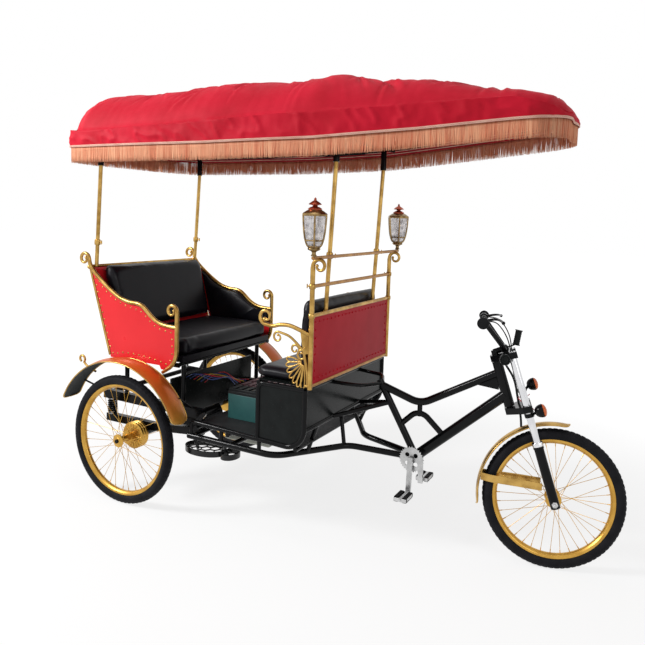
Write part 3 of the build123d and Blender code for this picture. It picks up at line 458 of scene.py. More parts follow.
    def make(self, body: Body, stands_for: tuple[str, ...] = (),
             sharp: float = 40.0, merge: float = 0.0) -> bpy.types.Object:
        """Makes the mesh object and sets it on its body.

        Args:
            body: the body that it rides on.
            stands_for: the CAD nodes that it replaces.
            sharp: edges that turn by more degrees stay sharp.
            merge: points nearer than this are joined.

        Returns:
            The object.
        """
        mesh = bpy.data.meshes.new(self.name)
        points = np.vstack(self.points)
        mesh.from_pydata(points.tolist(), [], self.faces)
        layer = mesh.uv_layers.new(name="UVMap")
        loops = np.zeros(len(mesh.loops), np.int32)
        mesh.loops.foreach_get("vertex_index", loops)
        layer.data.foreach_set("uv", np.vstack(self.uvs)[loops].ravel().astype(np.float32))
        mesh.polygons.foreach_set("material_index", np.array(self.slots, np.int32))
        mesh.polygons.foreach_set("use_smooth", np.ones(len(mesh.polygons), bool))
        for finish in self.finishes:
            mesh.materials.append(finish.material())
        if merge:
            work = bmesh.new()
            work.from_mesh(mesh)
            bmesh.ops.remove_doubles(work, verts=work.verts, dist=merge)
            work.to_mesh(mesh)
            work.free()
        mesh.set_sharp_from_angle(angle=math.radians(sharp))
        mesh.validate()
        made = bpy.data.objects.new(self.name, mesh)
        bpy.context.scene.collection.objects.link(made)
        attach(made, body.value)
        if stands_for:
            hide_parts(*stands_for)
        return made


def curve(points: Array, count: int, closed: bool = False) -> Array:
    """A smooth line through points: each span is the cubic that leaves and meets its
    neighbours' directions.

    Args:
        points: rows of coordinates.
        count: how many points to return.
        closed: joins the end to the start.

    Returns:
        The points of the line.
    """
    points = np.asarray(points, float)
    size = len(points)
    if closed:
        padded = np.vstack([points[-1:], points, points[:2]])
        spans = size
    else:
        padded = np.vstack([2 * points[0] - points[1], points, 2 * points[-1] - points[-2]])
        spans = size - 1
    t = np.linspace(0, spans, count, endpoint=not closed)
    span = np.minimum(t.astype(int), spans - 1)
    t = (t - span)[:, None]
    a, b, c, d = (padded[span + k] for k in range(4))
    return 0.5 * (2 * b + (c - a) * t + (2 * a - 5 * b + 4 * c - d) * t ** 2
                  + (3 * b - a - 3 * c + d) * t ** 3)


def even(path: Array, step: float, closed: bool = False) -> Array:
    """The same line with points a step apart, by straight interpolation along its length.

    Args:
        path: the points of the line.
        step: the distance between points.
        closed: the line returns to its start.

    Returns:
        The new points.
    """
    if closed:
        path = np.vstack([path, path[:1]])
    gaps = np.linalg.norm(np.diff(path, axis=0), axis=1)
    length = np.concatenate([[0], np.cumsum(gaps)])
    count = max(2, int(round(length[-1] / step)))
    where = np.linspace(0, length[-1], count, endpoint=not closed)
    return np.stack([np.interp(where, length, path[:, k]) for k in range(path.shape[1])], 1)


def wound(start: Array, heading: float, first: float, last: float, turns: float, hand: int,
          y: float, count: int = 60) -> Array:
    """A scroll in the plane along X and Z: the heading turns steadily while the radius shrinks,
    and the steps are added up.

    Args:
        start: x and z of the start.
        heading: the starting angle from +X, in degrees.
        first: the radius at the start.
        last: the radius at the eye.
        turns: how many turns it makes.
        hand: 1 winds to the left.
        y: the plane's place.
        count: the number of points.

    Returns:
        The points of the scroll.
    """
    t = np.linspace(0, 1, count)
    angle = np.radians(heading) + hand * t * turns * 2 * np.pi
    radius = first + (last - first) * t
    step = radius * turns * 2 * np.pi / (count - 1)
    x = start[0] + np.concatenate([[0], np.cumsum(np.cos(angle[:-1]) * step[:-1])])
    z = start[1] + np.concatenate([[0], np.cumsum(np.sin(angle[:-1]) * step[:-1])])
    return np.stack([x, np.full(count, y), z], 1)


def upright(line: Array, y: float) -> Array:
    """Stands a line of x, counted from the rear axle, and z in the plane at y.

    Args:
        line: rows of x and z.
        y: the plane's place.

    Returns:
        The points in the model's frame.
    """
    return np.stack([line[:, 0] - ORIGIN_X, np.full(len(line), y), line[:, 1]], 1)


def scrolled(line: Array, scroll: Array, y: float) -> Array:
    """Joins a line in the plane at y to the scroll that starts at its end.

    Args:
        line: rows of x, counted from the rear axle, and z.
        scroll: the scroll's points, as wound() gives them.
        y: the plane's place.

    Returns:
        The points in the model's frame.
    """
    return np.vstack([upright(line, y), scroll[1:] - (ORIGIN_X, 0.0, 0.0)])


def outward(made: bpy.types.Object) -> None:
    """Turns a closed piece's faces outwards.

    Args:
        made: the piece.
    """
    work = bmesh.new()
    work.from_mesh(made.data)
    bmesh.ops.recalc_face_normals(work, faces=work.faces)
    work.to_mesh(made.data)
    work.free()


def ripple(u: Array, v: Array, seed: int) -> Array:
    """Soft noise from -1 to 1: random heights on a lattice, eased between its points.

    Args:
        u: the first coordinate.
        v: the second coordinate.
        seed: picks the random heights.

    Returns:
        The noise at each point.
    """
    table = np.random.default_rng(seed).uniform(-1, 1, (64, 64))
    i, j = np.floor(u).astype(int), np.floor(v).astype(int)
    a, b = u - i, v - j
    a, b = a * a * (3 - 2 * a), b * b * (3 - 2 * b)
    low = table[i % 64, j % 64] * (1 - a) + table[(i + 1) % 64, j % 64] * a
    high = table[i % 64, (j + 1) % 64] * (1 - a) + table[(i + 1) % 64, (j + 1) % 64] * a
    return low * (1 - b) + high * b


def ball(shape: Shape, centre: Array, radius: float, slot: int = 0) -> None:
    """Adds a ball turned from a half circle."""
    t = np.linspace(0.06, np.pi - 0.06, 9)
    shape.lathe(np.stack([np.sin(t) * radius, -np.cos(t) * radius], 1), centre,
                UP, 16, slot)


def bevelled(made: bpy.types.Object, width: float, segments: int = 2) -> bpy.types.Object:
    """Rounds a piece's sharp edges by a Bevel modifier.

    Args:
        made: the piece.
        width: how far the rounding reaches from an edge.
        segments: the steps of the rounding.

    Returns:
        The piece.
    """
    mod = made.modifiers.new("Edges", "BEVEL")
    mod.width = width
    mod.segments = segments
    mod.limit_method = "ANGLE"
    return made


def dress(name: str, finish: Finish) -> None:
    """Gives a CAD node a finish.

    Args:
        name: the node's name.
        finish: its finish.
    """
    made = bpy.data.objects[name]
    made.data.materials.clear()
    made.data.materials.append(finish.material())


@dataclass
class Outline:
    """The canopy's plan and heights, by stations from the rear to the nose."""

    stations: Array = field(default_factory=lambda: np.array([
        (-0.436, 0.250, 1.828, 1.935, 2.090), (-0.390, 0.430, 1.828, 1.915, 2.114),
        (-0.290, 0.487, 1.828, 1.910, 2.130), (0.500, 0.482, 1.834, 1.935, 2.150),
        (1.050, 0.425, 1.850, 1.965, 2.155), (1.500, 0.335, 1.886, 1.990, 2.125),
        (1.880, 0.272, 1.922, 2.015, 2.075), (2.000, 0.225, 1.932, 1.990, 2.048),
        (2.065, 0.130, 1.938, 1.965, 2.004)]))
    humps: tuple[Colour, ...] = ((0.014, 1.085, 0.08), (0.005, 0.5, 0.3), (-0.012, 1.72, 0.16))

    def plan(self, step: float, inset: float = 0.0) -> Array:
        """The rim seen from above: a smooth closed line through both sides' stations.

        Args:
            step: the distance between points.
            inset: how far inside the rim it runs.

        Returns:
            Rows of x and y.
        """
        x, half = self.stations[:, 0], self.stations[:, 1]
        ends = [(x[0] + 0.002, 0.0)], [(x[-1] - 0.003, 0.0)]
        near = curve(np.vstack([ends[0], np.stack([x, -half], 1), ends[1]]), 900)
        gaps = np.linalg.norm(np.diff(near, axis=0), axis=1).sum()
        line = even(near, gaps / max(8, round(gaps / step)))
        middle = np.stack([np.clip(line[:, 0], 0.0, 1.6), np.zeros(len(line))], 1)
        inward = middle - line
        inward /= np.linalg.norm(inward, axis=1, keepdims=True)
        line = line + inward * (inset + 0.003)
        line[[0, -1], 1] = 0.0
        return np.vstack([line, line[-2:0:-1] * (1.0, -1.0)])

    def rim(self, step: float, inset: float, lift: float) -> Array:
        """A line that follows the hem.

        Args:
            step: the distance between points.
            inset: how far inside the rim it runs.
            lift: its height over the hem.

        Returns:
            The points in the model's frame.
        """
        plan = self.plan(step, inset)
        return np.stack([plan[:, 0] - ORIGIN_X, plan[:, 1], self.height(plan[:, 0], 2) + lift], 1)

    def height(self, x: Array, column: int) -> Array:
        """Hem (2), fold (3) or crown (4) height at x."""
        return np.interp(x, self.stations[:, 0], self.stations[:, column])

    def dome(self, x: Array, y: Array) -> Array:
        """The cloth's height over the bows: a rounded box section that is steep at the folds
        and nearly flat at the crown, with low humps along the ridge.

        Args:
            x: places along the canopy.
            y: places across it.

        Returns:
            The heights.
        """
        half = self.height(x, 1)
        fold, crown = self.height(x, 3), self.height(x, 4)
        hump = sum(high * np.exp(-((x - middle) / width) ** 2)
                   for high, middle, width in self.humps)
        share = np.clip(1 - (np.abs(y) / half) ** 3.6, 0, 1) ** 0.68
        return fold + (crown - fold + hump) * share


@dataclass
class Canopy:
    """The crimson sheet: a gathered valance that turns over the rim and up to the ridge."""

    outline: Outline = field(default_factory=Outline)
    rows_up: int = 14
    rows_over: int = 44
    step: float = 0.0096
    bows: tuple[float, ...] = (-0.25, 0.5, 1.05, 1.5)
    clear: float = 0.009
    ridge: tuple[float, float] = (-0.40, 2.00)
    crease_count: int = 190
    cloth_thickness: float = 0.0016
    flat_width: float = 1.45
    slack: float = 1.08

    def creases(self, x: Array, length: Array, climb: Array) -> Array:
        """How far the cloth sinks: each crease is a peak across a slanted line that starts at
        the fold or on a bow and fades along it.

        Args:
            x: places along the canopy.
            length: lengths round the rim.
            climb: lengths up from the fold.

        Returns:
            The depths.
        """
        rng = np.random.default_rng(4)
        total = length.max()
        sink = np.zeros(np.broadcast(x, climb).shape)
        for start in rng.uniform(0, total, self.crease_count):
            slant = rng.uniform(-0.9, 0.9)
            reach = rng.uniform(0.12, 0.50)
            wide = rng.uniform(0.008, 0.015)
            deep = rng.uniform(0.006, 0.015)
            low = rng.uniform(-0.02, 0.12) if rng.random() < 0.6 else rng.uniform(0.1, 0.4)
            bend = rng.uniform(-0.6, 0.6)
            up = climb - low
            middle = start + slant * up + bend * up ** 2
            off = (length - middle) / np.hypot(1, slant)
            along = np.clip(up / reach, 0, 1)
            fade = np.sin(np.pi * along) ** 0.7 * (up > 0) * (up < reach)
            sink += deep * fade * (np.exp(-np.abs(off) / wide)
                                   - 0.5 * np.exp(-((off - 1.9 * wide) / wide) ** 2))
        return sink

    def build(self) -> list[bpy.types.Object]:
        """Makes the sheet: each rim point rises to the fold, then runs over the bows to the
        ridge.

        Returns:
            The sheet.
        """
        plan = self.outline.plan(self.step, -self.clear)
        length = np.arange(len(plan)) * self.step
        ridge = np.stack([np.clip(plan[:, 0], *self.ridge), np.zeros(len(plan))], 1)
        wave = ripple(length / 0.16, 0 * length + 0.5, 3) * 0.004
        up = np.linspace(0, 1, self.rows_up)[:, None]
        gather = (ripple(length / 0.024, 2.2 * up + 0 * length, 5) * 0.6
                  + ripple(length / 0.052, 1.6 * up + 0 * length, 6) * 0.9)
        points = np.vstack([self.valance(plan, ridge - plan, length, gather, wave),
                            self.crown(plan, ridge - plan, length, gather[-1], wave)])
        points[..., 0] -= ORIGIN_X
        return [self.sew(points, length)]

    def valance(self, plan: Array, toward: Array, length: Array, gather: Array,
                wave: Array) -> Array:
        """Makes the wall from the hem to the fold, pushed in and out by gathers and pleats.

        Args:
            plan: the rim's x and y.
            toward: from each rim point to the ridge.
            length: lengths round the rim.
            gather: the gathers' depth, row by row.
            wave: how far the fold rises and sinks.

        Returns:
            The points, rows by places by 3.
        """
        hem = self.outline.height(plan[:, 0], 2) + 0.001
        fold = self.outline.height(plan[:, 0], 3) + wave
        up = np.linspace(0, 1, self.rows_up)[:, None]
        wall = np.stack([np.repeat(plan[None, :, 0], self.rows_up, 0),
                         np.repeat(plan[None, :, 1], self.rows_up, 0),
                         hem + (fold - hem) * up], -1)
        tuck = np.maximum(0, ripple(length / 0.085 + up * 0.8, 0 * length + 1.5 * up, 7)) ** 2
        pleat = (1 - np.abs(ripple(length / 0.060 + 1.3 * up, 1.1 * up + 0 * length, 15))) ** 3
        push = 0.0034 * gather * (1 - 0.4 * up ** 2) + 0.006 * tuck * np.sin(np.pi * up)
        lower = np.clip(up / 0.22, 0, 1)
        push = np.clip((push + 0.0035 - 0.0095 * pleat) * lower, -0.0070, 0.0078)
        push = push + 0.0015 * (1 - lower)
        inward = toward / np.linalg.norm(toward, axis=1)[:, None]
        wall[..., :2] += inward[None] * push[..., None]
        return wall

    def crown(self, plan: Array, toward: Array, length: Array, gather: Array,
              wave: Array) -> Array:
        """Makes the top from the fold to the ridge, with slack between the bows and creases.

        Args:
            plan: the rim's x and y.
            toward: from each rim point to the ridge.
            length: lengths round the rim.
            gather: the gathers' depth at the fold.
            wave: how far the fold rises and sinks.

        Returns:
            The points, rows by places by 3.
        """
        over = np.linspace(0, 1, self.rows_over + 1)[1:, None] ** 1.15
        around = len(plan)
        dome = np.empty((self.rows_over, around, 3))
        dome[..., :2] = plan + toward * over[..., None]
        x, y = dome[..., 0], dome[..., 1]
        reach = np.linalg.norm(toward, axis=1)
        climb = over * reach
        end = np.abs(toward[:, 0] / reach)
        edge = 1 - np.exp(-climb / (0.012 + 0.018 * end))
        height = self.outline.height(x, 3)
        top = height + (self.outline.dome(x, y) - height) * edge
        top += 0.0042 * gather * np.exp(-climb / 0.09) * (1 - np.exp(-climb / 0.014))
        top += np.exp(-climb / 0.03) * wave
        gap = np.min([np.abs(x - bow) for bow in self.bows], axis=0)
        free = np.clip((gap - 0.035) / 0.12, 0, 1)
        free = free * free * (3 - 2 * free)
        sag = free * np.minimum(1, np.clip(gap / 0.30, 0, 1)) * edge * 0.011
        soft = ripple(x * 5 + y * 3, y * 5 - x, 11) * 0.5 + 0.5
        top += 0.0055 * edge - sag * (0.6 + 0.6 * soft)
        folds = np.maximum(self.creases(x, length, climb), -0.006)
        top -= folds * (0.4 + 0.6 * free) * np.clip(climb / 0.02, 0, 1)
        dome[..., 2] = top
        dome[-1, :, 2] = (dome[-1, :, 2] + dome[-1, -np.arange(around), 2]) / 2
        return dome

    def sew(self, points: Array, length: Array) -> bpy.types.Object:
        """Args:
            points: its points, rows by places by 3.
            length: lengths round the rim.

        Returns:
            The sheet.
        """
        sheet = Shape("canopy_cloth_sheet", CLOTH, LINING)
        v = np.linspace(0, 1, len(points))[:, None] * np.ones(len(length))
        uv = np.stack([np.ones((len(points), 1)) * length, v], -1)
        sheet.grid(points, round_v=True, uv=uv)
        made = sheet.make(Body.CHASSIS, ("canopy_cloth",), sharp=85, merge=0.0006)
        work = bmesh.new()
        work.from_mesh(made.data)
        bmesh.ops.recalc_face_normals(work, faces=work.faces)
        top = max(work.faces, key=lambda f: f.calc_center_median().z)
        if top.normal.z < 0:
            bmesh.ops.reverse_faces(work, faces=work.faces)
        area = sum(face.calc_area() for face in work.faces)
        work.to_mesh(made.data)
        work.free()
        solid = made.modifiers.new("Cloth", "SOLIDIFY")
        solid.thickness = self.cloth_thickness
        solid.offset = -1
        solid.material_offset = 1
        return made


@dataclass
class Fringe:
    """The tassel fringe under the hem, with the braid that heads it."""

    outline: Outline = field(default_factory=Outline)
    drop: float = 0.082
    spacing: float = 0.0036

    def build(self) -> list[bpy.types.Object]:
        """Makes what hangs from the hem and what edges it.

        Returns:
            The fringe, the braid, the piping and the sleeve.
        """
        return [self.strands(), self.braid(), self.piping(), self.sleeve()]

    def strands(self) -> bpy.types.Object:
        """Makes the strands: three-sided tapered threads that hang from the rim and sway.

        Returns:
            The fringe.
        """
        rng = np.random.default_rng(21)
        shape = Shape("canopy_fringe_strands", TASSEL)
        for layer, inset in enumerate((-0.0030, -0.0005)):
            plan = self.outline.plan(self.spacing, inset)
            count = len(plan)
            top = self.outline.height(plan[:, 0], 2) + 0.002
            along = np.roll(plan, -1, 0) - plan
            along /= np.linalg.norm(along, axis=1, keepdims=True)
            out = np.stack([along[:, 1], -along[:, 0]], 1)
            rings = np.linspace(0, 1, 5)
            clump = ripple(np.arange(count) / 7.0, np.full(count, 3.3 + layer), 31)
            sway = (clump * 0.0045 + rng.normal(0, 0.0016, count))[:, None] * rings ** 1.5
            lean = rng.uniform(0.0, 0.0022, count)[:, None] * rings
            lengths = self.drop * rng.uniform(0.93, 1.0, count)
            lengths *= np.where(rng.random(count) < 0.04, 0.9, 1.0)
            centre = np.empty((count, 5, 3))
            centre[..., :2] = (plan[:, None] + along[:, None] * sway[..., None]
                               - out[:, None] * lean[..., None])
            centre[..., 2] = top[:, None] - lengths[:, None] * rings
            turn = np.array([0.3, 2.4, 4.5])
            size = 0.00165 * np.array([1.0, 1.0, 1.05, 1.0, 0.55])
            ring = np.zeros((count, 5, 3, 3))
            ring[..., :2] = (along[:, None, None] * np.cos(turn)[:, None]
                             + out[:, None, None] * np.sin(turn)[:, None])
            centre[..., 0] -= ORIGIN_X
            points = centre[:, :, None] + ring * size[None, :, None, None]
            shade = np.clip(0.45 + 0.25 * clump + rng.normal(0, 0.2, count), 0, 1)
            uv = np.zeros((count, 15, 2))
            uv[..., 0] = shade[:, None]
            uv[..., 1] = np.repeat(rings, 3)[None]
            shape.copies(points.reshape(count, 15, 3),
                         ring_quads(5, 3) + [[0, 2, 1], [12, 13, 14]], uv=uv)
        return shape.make(Body.CHASSIS, ("canopy_fringe",), sharp=180)

    def braid(self) -> bpy.types.Object:
        """Makes the braid: two cords that cross in waves along the hem.

        Returns:
            The braid.
        """
        shape = Shape("canopy_fringe_braid", BRAID)
        step = 0.0035
        line = self.outline.rim(step, -0.0098, 0.0045)
        steps = np.arange(len(line)) * step
        waves = max(1, round(steps[-1] / 0.021)) * 2 * np.pi / (len(line) * step)
        for phase in (0.0, np.pi):
            rise = np.sin(steps * waves + phase) * 0.0042
            shape.tube(line + UP * rise[:, None], 0.0024, 6, closed=True, normal=UP)
        return shape.make(Body.CHASSIS, sharp=180)

    def piping(self) -> bpy.types.Object:
        """Makes the hem's two cords, one over the other.

        Returns:
            The piping.
        """
        shape = Shape("canopy_piping", LINING, BRAID)
        for lift, slot in ((0.0, 0), (0.0075, 1)):
            shape.tube(self.outline.rim(0.012, 0.006, 0.002 + lift), 0.0036 - 0.1 * lift, 8,
                       closed=True, slot=slot, normal=UP)
        return shape.make(Body.CHASSIS, sharp=180)

    def sleeve(self) -> bpy.types.Object:
        """Makes the red sleeve round the rim, with a cord on each side of it.

        Returns:
            The sleeve.
        """
        shape = Shape("canopy_rim_sleeve", LINING, BRAID)
        for inset, lift, radius, slot in ((0.013, 0.024, 0.0104, 0), (0.0235, 0.020, 0.0018, 1),
                                          (0.0225, 0.031, 0.0018, 1)):
            shape.tube(self.outline.rim(0.016, inset, lift), radius, 10, closed=True, slot=slot,
                       normal=UP)
        return shape.make(Body.CHASSIS, sharp=180)


@dataclass
class Wheel:
    """A spoked wheel with its tyre: moulded tread, deep rim, crossed spokes and a turned hub."""

    name: str
    body: Body
    centre: Array
    axis: Array
    radius: float
    drum: int = 0
    half_hub: float = 0.038
    spokes: int = 36

    def plane(self) -> tuple[Array, Array, Array]:
        """The axle's direction and two directions square to it, by cross products.

        Returns:
            The three directions.
        """
        axis = np.asarray(self.axis, float) / np.linalg.norm(self.axis)
        first = np.cross(axis, (0.0, 0.0, 1.0))
        first /= np.linalg.norm(first)
        return axis, first, np.cross(axis, first)

    def build(self) -> list[bpy.types.Object]:
        """Makes the tyre and the wheel.

        Returns:
            The tyre and the wheel's metal.
        """
        return [self.tyre(), self.metal()]

    def tyre(self) -> bpy.types.Object:
        """Makes the tyre: a ring of half-round sections whose crown is cut by slanted grooves,
        with fine ribs on the walls.

        Returns:
            The tyre.
        """
        axis, first, second = self.plane()
        steps = 468
        turn = np.linspace(0, 2 * np.pi, steps, endpoint=False)[:, None]
        lean = np.linspace(-2.35, 2.35, 45)[None]
        tube = 0.0268
        pitch = turn * 78
        side = np.abs(lean)
        crown = np.clip((0.92 - side) / 0.18, 0, 1)
        slant = np.cos(pitch + 3.0 * lean * np.sign(np.sin(3.3 * lean + 0.01)))
        block = 1 / (1 + np.exp(-(slant - 0.25) * 9))
        groove = np.exp(-((side - 0.34) / 0.05) ** 2) + np.exp(-((side - 0.66) / 0.05) ** 2)
        cut = crown * np.clip(0.85 * block + groove, 0, 1)
        shoulder = np.clip(1 - np.abs(side - 1.02) / 0.14, 0, 1) * (np.cos(pitch) > 0.1)
        ribs = 0.00025 * np.cos(side * 60) * np.clip((side - 1.3) * 5, 0, 1)
        size = tube - 0.0019 * cut - 0.0012 * shoulder + ribs
        reach = (self.radius - tube) + np.cos(lean) * size
        across = np.sin(lean) * size
        seat = self.radius - 0.0455
        inside = reach < seat
        reach = np.where(inside, seat, reach)
        around = np.cos(turn)[..., None] * first + np.sin(turn)[..., None] * second
        points = self.centre + reach[..., None] * around + across[..., None] * axis
        tyre = Shape(f"{self.name}_tyre_rubber", RUBBER)
        tyre.grid(points, round_u=True, round_v=True, flip=True)
        return tyre.make(self.body, (f"{self.name}_tyre",), sharp=50)

    def metal(self) -> bpy.types.Object:
        """Makes the rim, hub, drum and spokes, each turned or set round the axle.

        Returns:
            The wheel.
        """
        axis, first, second = self.plane()
        seat = self.radius - 0.0462
        shape = Shape(f"{self.name}_wheel_metal", RIM_GOLD, BLACK, ALLOY)
        rim = [(seat, -0.0168), (seat + 0.0006, -0.0155), (seat - 0.0025, -0.0142),
               (seat - 0.0030, 0.0), (seat - 0.0025, 0.0142), (seat + 0.0006, 0.0155),
               (seat, 0.0168), (seat - 0.004, 0.0170), (seat - 0.0095, 0.0162),
               (seat - 0.0115, 0.0140), (seat - 0.0165, 0.0098), (seat - 0.0195, 0.0045),
               (seat - 0.0198, 0.0), (seat - 0.0195, -0.0045), (seat - 0.0165, -0.0098),
               (seat - 0.0115, -0.0140), (seat - 0.0095, -0.0162), (seat - 0.004, -0.0170)]
        shape.lathe(np.array(rim)[::-1], self.centre, axis, 120, closed=True)
        h = self.half_hub
        bore = 0.0105 if self.drum else 0.0065
        hub = [(bore, -h), (0.012, -h), (0.016, -h + 0.003), (0.019, -h + 0.005),
               (0.034, -h + 0.006), (0.034, -h + 0.0095), (0.019, -h + 0.011),
               (0.0165, -h * 0.4), (0.0165, h * 0.4), (0.019, h - 0.011), (0.034, h - 0.0095),
               (0.034, h - 0.006), (0.019, h - 0.005), (0.016, h - 0.003), (0.012, h), (bore, h)]
        shape.lathe(np.array(hub), self.centre, axis, 40, closed=True)
        if self.drum:
            start = (h + 0.026) * self.drum
            drum = [(bore, h * self.drum), (0.0185, h * self.drum), (0.0185, start),
                    (0.060, start), (0.066, start + 0.004 * self.drum),
                    (0.070, start + 0.006 * self.drum), (0.070, start + 0.012 * self.drum),
                    (0.0675, start + 0.014 * self.drum), (0.0675, start + 0.019 * self.drum),
                    (0.070, start + 0.021 * self.drum), (0.070, start + 0.027 * self.drum),
                    (0.0675, start + 0.029 * self.drum), (0.0675, start + 0.034 * self.drum),
                    (0.070, start + 0.036 * self.drum), (0.070, start + 0.046 * self.drum),
                    (bore, start + 0.047 * self.drum)]
            ring = np.array(drum)
            shape.lathe(ring if self.drum > 0 else ring[::-1], self.centre, axis, 64, closed=True)
            angle = np.linspace(0, 2 * np.pi, 18, endpoint=False)
            for k in angle:
                arm = np.cos(k) * first + np.sin(k) * second
                shape.rod(self.centre + arm * 0.024 + axis * start * 0.995,
                          self.centre + arm * 0.062 + axis * start * 0.995, 0.0022, 6)
        angle = np.arange(self.spokes) * 2 * np.pi / self.spokes
        side = np.where(np.arange(self.spokes) % 2, 1.0, -1.0)
        lead = np.where((np.arange(self.spokes) // 2) % 2, 1.0, -1.0) * np.radians(38)

        def ray(a: Array) -> Array:
            """The directions at angles round the axle."""
            return np.cos(a)[:, None] * first + np.sin(a)[:, None] * second

        foot = self.centre + ray(angle + lead) * 0.029 + axis * (side * (h - 0.008))[:, None]
        head = self.centre + ray(angle) * (seat - 0.019) + axis * (side * 0.002)[:, None]
        for a, b in zip(foot, head):
            shape.tube(np.stack([a, a + (b - a) * 0.93, a + (b - a) * 0.932, b]),
                       np.array([0.0011, 0.0011, 0.0021, 0.0021]), 6)
        shape.rod(foot[0], foot[0] + 0.001 * axis, 0.0015, 6, slot=1)
        return shape.make(self.body, (f"{self.name}_wheel",), sharp=45)


@dataclass
class Cushion:
    """A stuffed pad: a rounded block, blown up by the cloth solver and let down again."""

    name: str
    node: str
    corners: Array
    half: float
    crown: float
    cap: float
    y: float = 0.0
    rings: int = 41
    skin_step: float = 0.011
    pressure: float = 3.0
    stiffness: float = 20.0
    frames: int = 14
    overhang: float = 0.004

    def build(self) -> list[bpy.types.Object]:
        """Makes the pad from its side outline: rings shrink towards each end by a quarter
        round, the middle swells by a cosine, and the cloth solver puffs the result.

        Returns:
            The pad.
        """
        shape = Shape(self.name, VINYL)
        rim = self.profile()
        centre = rim.mean(0)
        ends = np.linspace(-1, 1, self.rings)
        round_off = 1 - (1 - np.sqrt(np.clip(1 - np.clip((np.abs(ends) - 0.955) / 0.045, 0, 1)
                                             ** 2, 0.0, 1))) * 0.32
        swell = 1 + 0.035 * np.cos(ends * np.pi / 2)[:, None, None] * self.crown
        ring = centre + (rim - centre)[None] * round_off[:, None, None] * swell
        points = np.empty((self.rings, len(rim), 3))
        points[..., 0] = ring[..., 0] - ORIGIN_X
        points[..., 2] = ring[..., 1]
        points[..., 1] = self.y + ends[:, None] * (self.half - 0.004)
        shape.grid(points, round_v=True, caps=True)
        made = shape.make(Body.CHASSIS, (self.node,), sharp=80)
        outward(made)
        self.puff(made)
        return [made]

    def profile(self) -> Array:
        """The side outline with each corner rounded by a quadratic curve that it pulls on.

        Returns:
            Rows of x, counted from the rear axle, and z.
        """
        corners = np.asarray(self.corners, float)
        before = np.roll(corners, 1, 0)
        after = np.roll(corners, -1, 0)
        cut = 0.022
        a = before - corners
        b = after - corners
        a /= np.linalg.norm(a, axis=1, keepdims=True)
        b /= np.linalg.norm(b, axis=1, keepdims=True)
        t = np.linspace(0, 1, 6)[None, :, None]
        arc = ((corners + a * cut)[:, None] * (1 - t) ** 2
               + corners[:, None] * 2 * t * (1 - t) + (corners + b * cut)[:, None] * t ** 2)
        return even(arc.reshape(-1, 2), 0.012, True)

    def puff(self, made: bpy.types.Object) -> None:
        """Runs the cloth solver with pressure on an even skin and keeps its result, with no
        point moved further than the cap.

        Args:
            made: the pad.
        """
        scene = bpy.context.scene
        bpy.ops.object.select_all(action="DESELECT")
        bpy.context.view_layer.objects.active = made
        made.select_set(True)
        remesh = made.modifiers.new("Skin", "REMESH")
        remesh.mode = "VOXEL"
        remesh.voxel_size = self.skin_step
        bpy.ops.object.modifier_apply(modifier=remesh.name)
        size = len(made.data.vertices)
        start = np.empty(size * 3)
        made.data.vertices.foreach_get("co", start)
        cloth = made.modifiers.new("Puff", "CLOTH")
        cloth.settings.use_pressure = True
        cloth.settings.uniform_pressure_force = self.pressure
        cloth.settings.quality = 4
        cloth.settings.mass = 0.4
        cloth.settings.tension_stiffness = self.stiffness
        cloth.settings.compression_stiffness = self.stiffness
        cloth.settings.bending_stiffness = 3
        cloth.settings.effector_weights.gravity = 0.0
        cloth.point_cache.frame_start = 1
        cloth.point_cache.frame_end = self.frames
        for step in range(1, self.frames + 1):
            scene.frame_set(step)
        shown = made.evaluated_get(bpy.context.evaluated_depsgraph_get()).data
        moved = np.empty(size * 3)
        shown.vertices.foreach_get("co", moved)
        made.modifiers.remove(cloth)
        scene.frame_set(1)
        shift = (moved - start).reshape(-1, 3)
        far = np.linalg.norm(shift, axis=1, keepdims=True)
        shift *= np.minimum(1, self.cap / np.maximum(far, 1e-9))
        result = start.reshape(-1, 3) + shift
        low, high = (np.array(c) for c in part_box(self.node))
        result = np.clip(result, low - self.overhang, high + self.overhang)
        made.data.vertices.foreach_set("co", result.ravel())
        made.data.polygons.foreach_set("use_smooth", np.ones(len(made.data.polygons), bool))
        made.data.update()
        smooth = made.modifiers.new("Settle", "SMOOTH")
        smooth.iterations = 6
        smooth.factor = 0.5
        bpy.ops.object.modifier_apply(modifier=smooth.name)
        finer = made.modifiers.new("Finer", "SUBSURF")
        finer.levels = finer.render_levels = 1


@dataclass
class SidePad:
    """One of the rear bench's side pads: a wavy-topped slab with a crowned inner face."""

    side: int
    name: str
    spread: float = 0.4165

    def build(self) -> list[bpy.types.Object]:
        """Makes the pad: its outline is repeated inwards, each ring a little smaller.

        Returns:
            The pad.
        """
        top = np.array([(-0.232, 1.136), (-0.190, 1.110), (-0.150, 1.080), (-0.09, 1.048),
                        (-0.020, 1.029), (0.050, 1.021), (0.090, 1.000), (0.125, 0.972),
                        (0.17, 0.946), (0.210, 0.932), (0.284, 0.926)])
        low = np.array([(0.284, 0.852), (0.1, 0.848), (-0.150, 0.848)])
        rim = even(np.vstack([curve(top, 60), low]), 0.010, True)
        centre = rim.mean(0)
        depth = np.array([0.0, 0.0, 0.006, 0.016, 0.022, 0.0255])
        share = np.array([0.985, 1.0, 1.0, 0.995, 0.965, 0.90])
        inner = self.side * self.spread
        rows = [upright(centre + (rim - centre) * s, inner - self.side * d)
                for d, s in zip(depth, share)]
        shape = Shape(f"side_pad_{self.name}", VINYL)
        shape.grid(np.array(rows), round_v=True, caps=True, flip=self.side > 0)
        made = shape.make(Body.CHASSIS, ("rear_side_pads",), sharp=70)
        outward(made)
        return [made]


